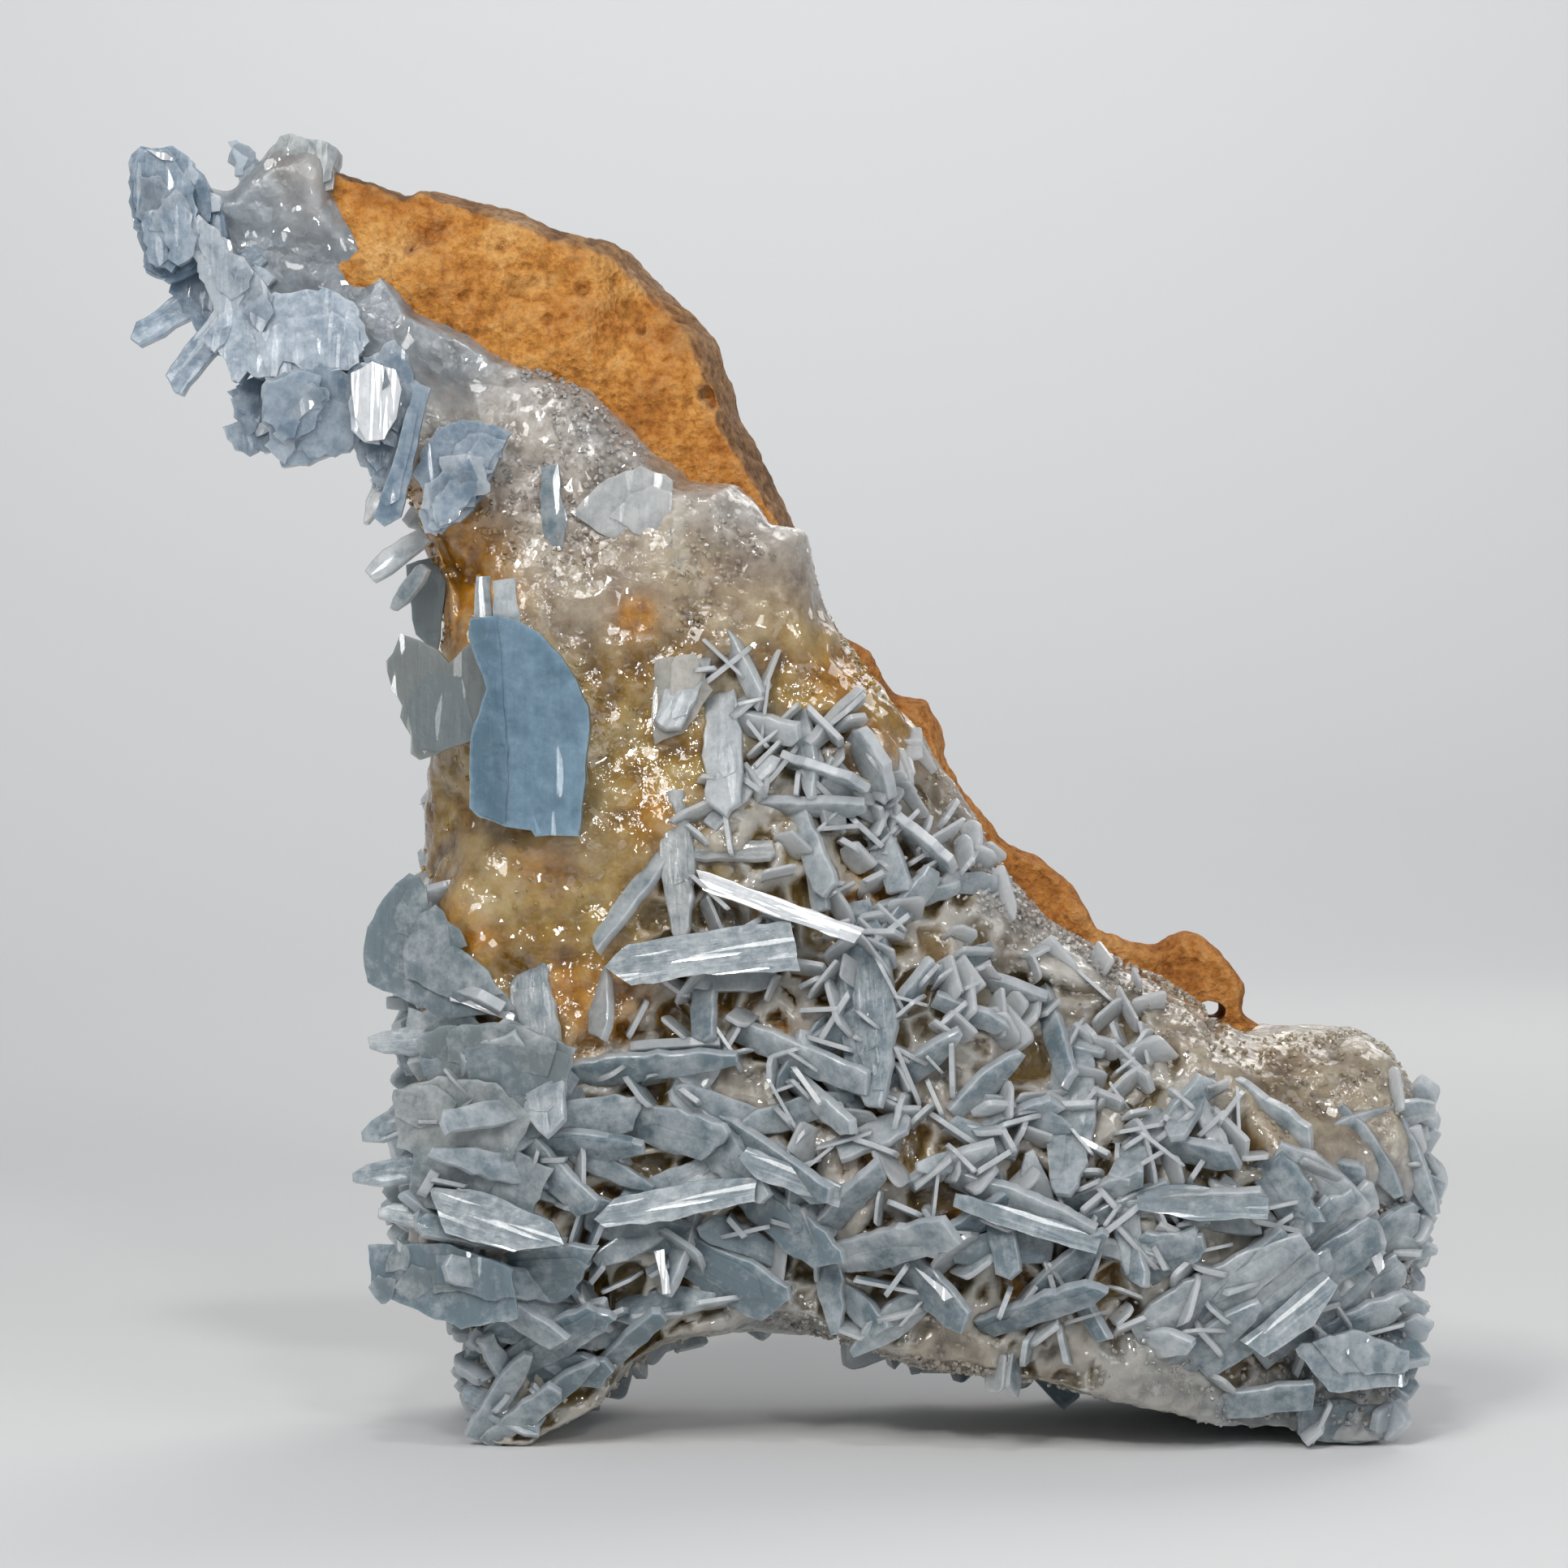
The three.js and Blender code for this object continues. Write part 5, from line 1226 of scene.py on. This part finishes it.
wing = {"seed": 7, "chips": 64, "chipTone": 0.8}
blueLath = {
    "points": [(-30.1, 86.9), (-29, 86.4), (-30.3, 80.5), (-31.3, 75.9), (-32.7, 75.1), (-33.5, 75.8),
               (-31.9, 80.5)],
    "y": -12.6, "lean": (0.1, -0.02), "thickness": 1, "tone": (0.25, 0, 0.6), "layers": 1,
}
wingPlates = [
    {"points": [(-54.5, 106.5), (-53.6, 107.1), (-51.9, 107.1), (-51.1, 107.3), (-49.9, 106.5),
                 (-48.7, 104.7), (-47.1, 102.5), (-46.3, 99.5), (-47.1, 97.9), (-48.3, 96.5), (-50.3, 96),
                 (-51.5, 95.7), (-53.1, 96.5), (-53.2, 98.2), (-53.9, 100.1), (-54.5, 101.9),
                 (-54.5, 104.9)],
     "y": -4.4, "lean": (-0.12, 0.05), "thickness": 2.4, "tone": (0.15, 0, 0.2)},
    {"points": [(-53.9, 106.7), (-51.3, 106.5), (-49.1, 104.2), (-48.6, 100.7), (-48.9, 97.7),
                 (-50.9, 96.5), (-52.6, 97.3), (-53.3, 99.9), (-54.1, 102.5)],
     "y": -6, "lean": (-0.25, 0.1), "thickness": 1.5, "tone": (0.3, 0, 0.6)},
    {"points": [(-50.9, 96.2), (-48.3, 97.3), (-47.1, 95.5), (-45.9, 93.5), (-45.6, 91.2), (-47.1, 89.7),
                 (-48.6, 90.5), (-49.6, 92.9), (-51.3, 95.1)],
     "y": -4, "lean": (-0.1, 0.1), "thickness": 2.2, "tone": (0, 0, 0.4)},
    {"points": [(-49.4, 100.4), (-48.6, 101.1), (-47.1, 99.9), (-45.9, 98.7), (-45.1, 97.2), (-43.4, 95.9),
                 (-41.9, 94.1), (-42.6, 91.9), (-44.6, 90.5), (-46.5, 91.9), (-47.6, 94.5), (-48.7, 97.2)],
     "y": -7, "lean": (-0.2, 0.1), "thickness": 3, "tone": (0.7, 0.08, 0.7)},
    {"points": [(-47, 92.3), (-44.6, 93.7), (-42.1, 94.4), (-39.1, 94.8), (-37.3, 94.8), (-35.5, 93.6),
                 (-34.5, 91.9), (-34.1, 90.5), (-35.3, 88.2), (-37.9, 87.7), (-41.1, 87.7), (-43.6, 88.9),
                 (-44.7, 87.1), (-45.5, 87.1), (-45.7, 88), (-46.5, 89.5), (-47.3, 91.4)],
     "y": -8.8, "lean": (-0.1, 0.22), "thickness": 2.6, "tone": (0.55, 0, 0.3)},
    {"points": [(-41.1, 87.3), (-37.9, 88.5), (-35.3, 87.5), (-34.7, 84.9), (-35.1, 82.1), (-35.9, 81.6),
                 (-37.7, 80.9), (-39.9, 80.3), (-41.3, 80.1), (-41.7, 81.2), (-42.6, 81.6), (-42.2, 83.1),
                 (-42.7, 83.8), (-42.9, 86), (-42.5, 87.1)],
     "y": -9.8, "lean": (0.05, -0.2), "thickness": 2, "tone": (0.45, 0, 0.9)},
    {"points": [(-42.5, 87.3), (-39.5, 88.2), (-37.5, 86), (-38.5, 83), (-41, 82.2), (-42.4, 84)],
     "y": -10.6, "lean": (-0.2, -0.1), "thickness": 1.3, "tone": (0.6, 0, 0.5)},
    {"points": [(-46, 86.7), (-44.6, 87.5), (-41.1, 87.7), (-41.3, 83.9), (-41.9, 81.6), (-44.4, 81.7),
                 (-44.5, 82.5), (-44.9, 83), (-45.1, 84.2), (-45.2, 85.5)],
     "y": -6.6, "lean": (0.1, 0.1), "thickness": 1.8, "tone": (0, 0, 0.1)},
    # This plate mirrors the left glint lamp, and its palest tone is partly a painted highlight
    {"points": [(-35.4, 88.4), (-34.6, 88.7), (-33.2, 87.7), (-31.9, 86.3), (-31.7, 84.9), (-32.6, 82.8),
                 (-33.3, 81.9), (-34.2, 82.1), (-35.3, 82.9), (-35.5, 84.9)],
     "y": -11.6, "lean": (-0.15, 0.27), "thickness": 1.4, "tone": (1, 0, 0.8), "layers": 0},
    {"points": [(-34.7, 88.9), (-32.4, 89.6), (-30.9, 88.4), (-30.2, 86.9), (-30.5, 84.9), (-31.3, 82.2),
                 (-32.1, 81.5), (-33.3, 82.5), (-33.6, 86.5)],
     "y": -9.8, "lean": (0.2, 0.1), "thickness": 2, "tone": (0.4, 0, 0.3)},
    {"points": [(-34.9, 81.7), (-33.5, 78.4), (-32.7, 79), (-31.8, 81.2), (-32.6, 82.9), (-34.3, 82.5)],
     "y": -9, "lean": (0.1, 0.1), "thickness": 1.6, "tone": (0.1, 0, 0.5)},
    {"points": [(-30.5, 79.3), (-29, 77.5), (-28.7, 76.4), (-29.1, 75.1), (-28.4, 74.6), (-27.5, 75.1),
                 (-25.9, 76.4), (-24.9, 77.6), (-24.2, 79.3), (-23.5, 81.2), (-22.6, 83.1), (-23.8, 83.5),
                 (-26.3, 84.2), (-28.6, 83.2), (-29.8, 81.1)],
     "y": -10, "lean": (0.2, 0.05), "thickness": 1.6, "tone": (0.25, 0, 0.15)},
    {"points": [(-28.8, 77), (-28.4, 75), (-27.4, 75.4), (-25, 78.2), (-23.8, 81.5), (-25, 82.5),
                 (-27.3, 79.5)],
     "y": -10.9, "lean": (0.2, 0.05), "thickness": 1.2, "tone": (0.35, 0, 0.85)},
    {"points": [(-46.7, 107.8), (-46.3, 108.1), (-45.1, 107.1), (-44.3, 106.7), (-43.8, 105.9),
                 (-43.9, 102.2), (-45.7, 102.2), (-45.5, 105.4), (-46.3, 107)],
     "y": -1, "lean": (0.1, 0.1), "thickness": 1.2, "tone": (0.6, 0, 0.35)},
]
wingBlades = [
    (-45.5, 97, -54.2, 90.9, 2.4, 1, 8), (-44.5, 95, -50.9, 86.9, 2.6, 2, 10),
    (-37, 92, -34.8, 88.5, 1.6, 2.4, 30),
]
largePlates = [
    {"points": [(-25.7, 67.7), (-23.4, 67.9), (-21.7, 67.4), (-20, 66.4), (-18.3, 64.5), (-16.9, 62.6),
                 (-16.1, 60.4), (-15.9, 58.9), (-16.2, 55.8), (-16.5, 52.4), (-16.8, 50.1), (-20.4, 50.1),
                 (-20.6, 50.5), (-22.7, 50.8), (-25.1, 51.7), (-25.6, 52.4), (-25.6, 57.9), (-24.3, 61.9),
                 (-25.7, 66.2)],
     "y": -12.9, "lean": (-0.05, 0.03), "thickness": 3.4, "tone": (0.5, 0, 0.4)},
    {"points": [(-25.6, 67.5), (-23.6, 67.7), (-23.2, 65), (-22.8, 60), (-22.5, 55), (-22.8, 51.1),
                 (-25, 51.9), (-25.4, 58), (-24.2, 62)],
     "y": -14.15, "lean": (-0.09, 0.03), "thickness": 1, "tone": (0.1, 0, 0.7)},
    {"points": [(-20.5, 52.9), (-18.8, 52.6), (-18.5, 50.6), (-20.3, 50.2)],
     "y": -14.35, "lean": (0.1, 0.1), "thickness": 0.8, "tone": (1, 0, 0.1)},
]
twinPlates = [
    {"points": [(-32.9, 64.3), (-32.2, 65), (-31.6, 66.5), (-30.2, 66), (-28.5, 65.1), (-27.6, 64),
                 (-26.4, 65.3), (-24.7, 66.2), (-23.6, 61.9), (-24.7, 58.2), (-27.1, 57.4), (-28.5, 56.7),
                 (-30, 56.2), (-30.8, 56.7), (-30.8, 58.2), (-31.6, 59.7), (-31.4, 60.6), (-32.4, 62),
                 (-32.7, 63.6)],
     "y": -9.8, "lean": (-0.3, 0.05), "thickness": 2.2, "tone": (-0.6, 0.16, 0.3)},
    {"points": [(-31.8, 62.5), (-29.3, 63.2), (-26.4, 62.9), (-25.3, 57.9), (-28.3, 56.9), (-30.3, 57.1),
                 (-31, 59.5)],
     "y": -10.7, "lean": (-0.33, 0.07), "thickness": 1, "tone": (-0.65, 0.1, 0.6)},
    {"points": [(-31.6, 72.4), (-30.9, 66.5), (-29, 65.2), (-28.2, 71), (-29.5, 73)],
     "y": -4.5, "lean": (-0.2, 0), "thickness": 1.2, "tone": (-0.5, 0.1, 0.5)},
    {"points": [(-25.2, 71), (-24.1, 71.1), (-23.9, 67), (-25.3, 67)],
     "y": -12.9, "lean": (0.1, 0.03), "thickness": 1.4, "tone": (0.35, 0.05, 0.2)},
    {"points": [(-23.8, 70.8), (-22, 71), (-21.6, 67), (-23.8, 67)],
     "y": -13.2, "lean": (-0.1, 0.03), "thickness": 1.2, "tone": (0.6, 0, 0.9)},
]


# Small broken chips over a plate, near its surface and each leaning a little its own way
def addChips(growth, forms, count, dice, palest):
    for _ in range(count):
        form = dice.choice(forms)
        middleX, middleZ = middleOf(form["points"])
        cornerX, cornerZ = dice.choice(form["points"])
        share = dice.uniform(0.1, 0.85)
        x = middleX + (cornerX - middleX) * share
        z = middleZ + (cornerZ - middleZ) * share
        leanX, leanZ = form["lean"]
        depth = form["y"] + leanX * (x - middleX) + leanZ * (z - middleZ) - form["thickness"] / 2
        size = dice.uniform(*chips["size"])
        turn = dice.uniform(0, math.pi)
        corners = []
        for number in range(chips["corners"]):
            angle = turn - number * 2 * math.pi / chips["corners"] + dice.uniform(-0.4, 0.4)
            reach = size * dice.uniform(0.45, 1.15)
            corners.append((x + reach * math.cos(angle), z + reach * math.sin(angle)))
        chip = {
            "points": corners, "y": depth + dice.uniform(*chips["sunk"]), "thickness": chips["thickness"],
            "lean": (leanX + dice.gauss(0, chips["leaning"]), leanZ + dice.gauss(0, chips["leaning"])),
            "layers": 0,
            "tone": (palest * dice.uniform(0.2, 1), 0.1 * dice.random(), dice.random()),
        }
        addPlate(growth, chip, dice, None, 0.6, 0.14)


def wingTone(x, z, dice):
    return (dice.uniform(0.1, 0.6), 0, dice.random())


def buildWing():
    dice = random.Random(wing["seed"])
    growth = Growth()
    for form in wingPlates:
        addPlate(growth, form, dice, wingTone, 0.7, 0.2)
    addChips(growth, wingPlates, wing["chips"], dice, wing["chipTone"])
    addPlate(growth, blueLath, dice, wingTone, 1.2, 0.08)
    for row in wingBlades:
        addBlade(growth, row, dice, wingTone, 0)
    finishPiece("wingPlates", growth.unitedMesh(), wingFinish, "barite_blades", "wing_blades", smooth=False)


buildBoxwork()
buildPlates("glintPlates", glintPlates, brightTone, brightFinish, "barite_blades", "crust")
buildPlates("streakedPlates", streakedPlates, streakedTone, streakFinish, "barite_blades", "crust")
buildWing()
buildPlates("bigBlueBlade", largePlates, brightTone, blueFinish, "blue_blade", "large_blade")
buildPlates("greyTwinBlade", twinPlates, brightTone, bladeFinish, "blue_blade", "large_blade")
print("large blades grown")


# Small blades by the hundred from a few shapes. On the front they stand on edge and are seen as bars.

def cutOff(bm, point, normal):
    geometry = bm.verts[:] + bm.edges[:] + bm.faces[:]
    cut = bmesh.ops.bisect_plane(bm, geom=geometry, plane_co=point, plane_no=normal, clear_outer=True)
    rim = [g for g in cut["geom_cut"] if isinstance(g, bmesh.types.BMEdge)]
    if rim:
        bmesh.ops.edgeloop_fill(bm, edges=rim)


# A slab of 1 x 1 x 1 about its middle, with cut corners and soft edges
def slabShape(dice, softEdge):
    bm = bmesh.new()
    bmesh.ops.create_cube(bm, size=1)
    for end in (-1, 1):
        outward = Vector((end, dice.uniform(-0.2, 0.2), dice.uniform(-0.1, 0.1))).normalized()
        cutOff(bm, (end * 0.46, 0, 0), outward)
        corner = Vector((end, dice.choice((-1, 1)), 0)).normalized()
        cutOff(bm, corner * dice.uniform(0.5, 0.62), corner)
    cutEdges(bm, bm.edges[:], softEdge)
    return shapeOfBm(bm)


# A cube of 1 x 1 x 1 with one corner off
def grainShape(dice):
    bm = bmesh.new()
    bmesh.ops.create_cube(bm, size=1)
    corner = Vector((1, dice.uniform(-0.6, 0.6), dice.uniform(0.3, 1))).normalized()
    cutOff(bm, corner * 0.45, corner)
    return shapeOfBm(bm)


# Places spread evenly over the crust: a polygon is drawn by its area, and a point on it by chance
def scatterPlaces(form):
    dice = random.Random(form["seed"])
    polygons = [(tuple(p.vertices), p.normal.copy()) for p in crustSurface.polygons]
    areas = np.cumsum([p.area for p in crustSurface.polygons])
    points = placesOf(crustSurface)
    found = []
    while len(found) < form["count"]:
        corners, normal = polygons[int(np.searchsorted(areas, dice.random() * areas[-1]))]
        weights = np.array([dice.random() for _ in corners])
        place = Vector((points[list(corners)] * weights[:, None]).sum(0) / weights.sum())
        if form["where"](place, normal, dice):
            found.append((place, normal))
    return found


# Each blade rises from the surface by its steepness and is rolled about its length. Its middle is on the
# surface or lifted a little.
def scatteredGrowth(form, shapes):
    growth = Growth()
    dice = random.Random(form["seed"] + turnSeed)
    for place, normal in scatterPlaces(form):
        spin = Vector((dice.uniform(-1, 1), dice.uniform(-1, 1), dice.uniform(-1, 1)))
        flat = (spin - normal * spin.dot(normal)).normalized()
        steep = math.radians(dice.uniform(*form["steep"]))
        along = flat * math.cos(steep) + normal * math.sin(steep)
        size = dice.random() ** 1.5  # most are short
        scale = [
            form[side][0] + (form[side][1] - form[side][0]) * share
            for side, share in (("length", size), ("width", dice.random()), ("thickness", dice.random()))
        ]
        middle = place + normal * form["lift"]
        matrix = basisOf(middle, middle + along, normal, dice.gauss(form["roll"], form["tilt"]))
        growth.add(dice.choice(shapes), matrix, form["look"](place.x, place.z, dice), scale)
    return growth


def onBoxwork(place, normal, dice):
    cover = 1.15 * valueAt(bladeCover, place.x, place.z) - 0.15
    return normal.y < -0.3 and dice.random() < cover * (0.2 + 0.8 * smallShare(place.x, place.z))


def onRim(place, normal, dice):
    side = normal.x < -0.4 and place.x < -22 and place.z < 46
    toe = normal.x > 0.3 and place.x > 45 and place.z < 28
    return (side or toe) and place.z > 1


def onBack(place, normal, dice):
    behindRock = place.z > 40 and place.x > -24 - 0.25 * (place.z - 60)
    under = normal.z < -0.4 and place.z > 1.5 and place.y > 0 and dice.random() < 0.4
    return (normal.y > 0.3 and normal.z < 0.5 and not behindRock and 2 < place.z < 96) or under


def onSugar(place, normal, dice):
    sugar = 1.05 - honeyAt(place.x, place.z) - valueAt(bladeCover, place.x, place.z)
    smoothBand = place.x < -22 and place.z > 84
    return place.z > 2 and normal.y < 0.6 and not smoothBand and dice.random() < sugar


def barTone(x, z, dice):
    pale, honey, free = toneAt(x, z, dice)
    return (min(1, pale + 0.15 + 0.45 * smallShare(x, z)), honey, free)


def paleTone(x, z, dice):
    return (dice.uniform(0.5, 1), 0.15 * honeyAt(x, z) * dice.random(), dice.random())


# Steep is in degrees from the surface; roll is the usual turn about the length and tilt its spread
scatteredBlades = {
    "edgeOnBlades": {
        "count": 350, "seed": 77, "length": (2.2, 5.6), "width": (2, 3), "thickness": (0.25, 0.5),
        "softEdge": 0.05, "steep": (0, 22), "roll": 90, "tilt": 14, "lift": 0,
        "where": onBoxwork, "look": barTone,
    },
    "edgeFringe": {
        "count": 240, "seed": 78, "length": (2.5, 6), "width": (1.4, 3.4), "thickness": (0.6, 1.1),
        "softEdge": 0.07, "steep": (10, 60), "roll": 90, "tilt": 45, "lift": 0,
        "where": onRim, "look": toneAt,
    },
    "backBlades": {
        "count": 480, "seed": 79, "length": (3, 8), "width": (2, 3.6), "thickness": (0.6, 1.1),
        "softEdge": 0.06, "steep": (0, 40), "roll": 90, "tilt": 40, "lift": 0,
        "where": onBack, "look": toneAt,
    },
}
sugarGrains = {
    "count": 9000, "seed": 90, "length": (0.18, 0.42), "width": (0.18, 0.4), "thickness": (0.15, 0.35),
    "steep": (0, 80), "roll": 90, "tilt": 90, "lift": 0.02, "where": onSugar, "look": paleTone,
    # This ridge value paints the grains paler, a painted highlight
    "ridge": 0.5,
}
shapeSeed, turnSeed = 5, 1000


def buildScatteredBlades():
    for name, form in scatteredBlades.items():
        dice = random.Random(shapeSeed)
        growth = scatteredGrowth(form, [slabShape(dice, form["softEdge"]) for _ in range(8)])
        finishPiece(name, growth.unitedMesh(), bladeFinish, "barite_blades", "crust", smooth=False)


def buildGrains():
    dice = random.Random(shapeSeed)
    growth = scatteredGrowth(sugarGrains, [grainShape(dice) for _ in range(6)])
    mesh = growth.looseMesh()
    addCrustValues(mesh, 0)
    addPointValues(mesh, "ridge", np.full(len(mesh.vertices), sugarGrains["ridge"]))
    finishPiece("sugarGrains", mesh, crustFinish, "crust", "crust", smooth=False)


buildScatteredBlades()
buildGrains()
print("small blades and grains scattered")
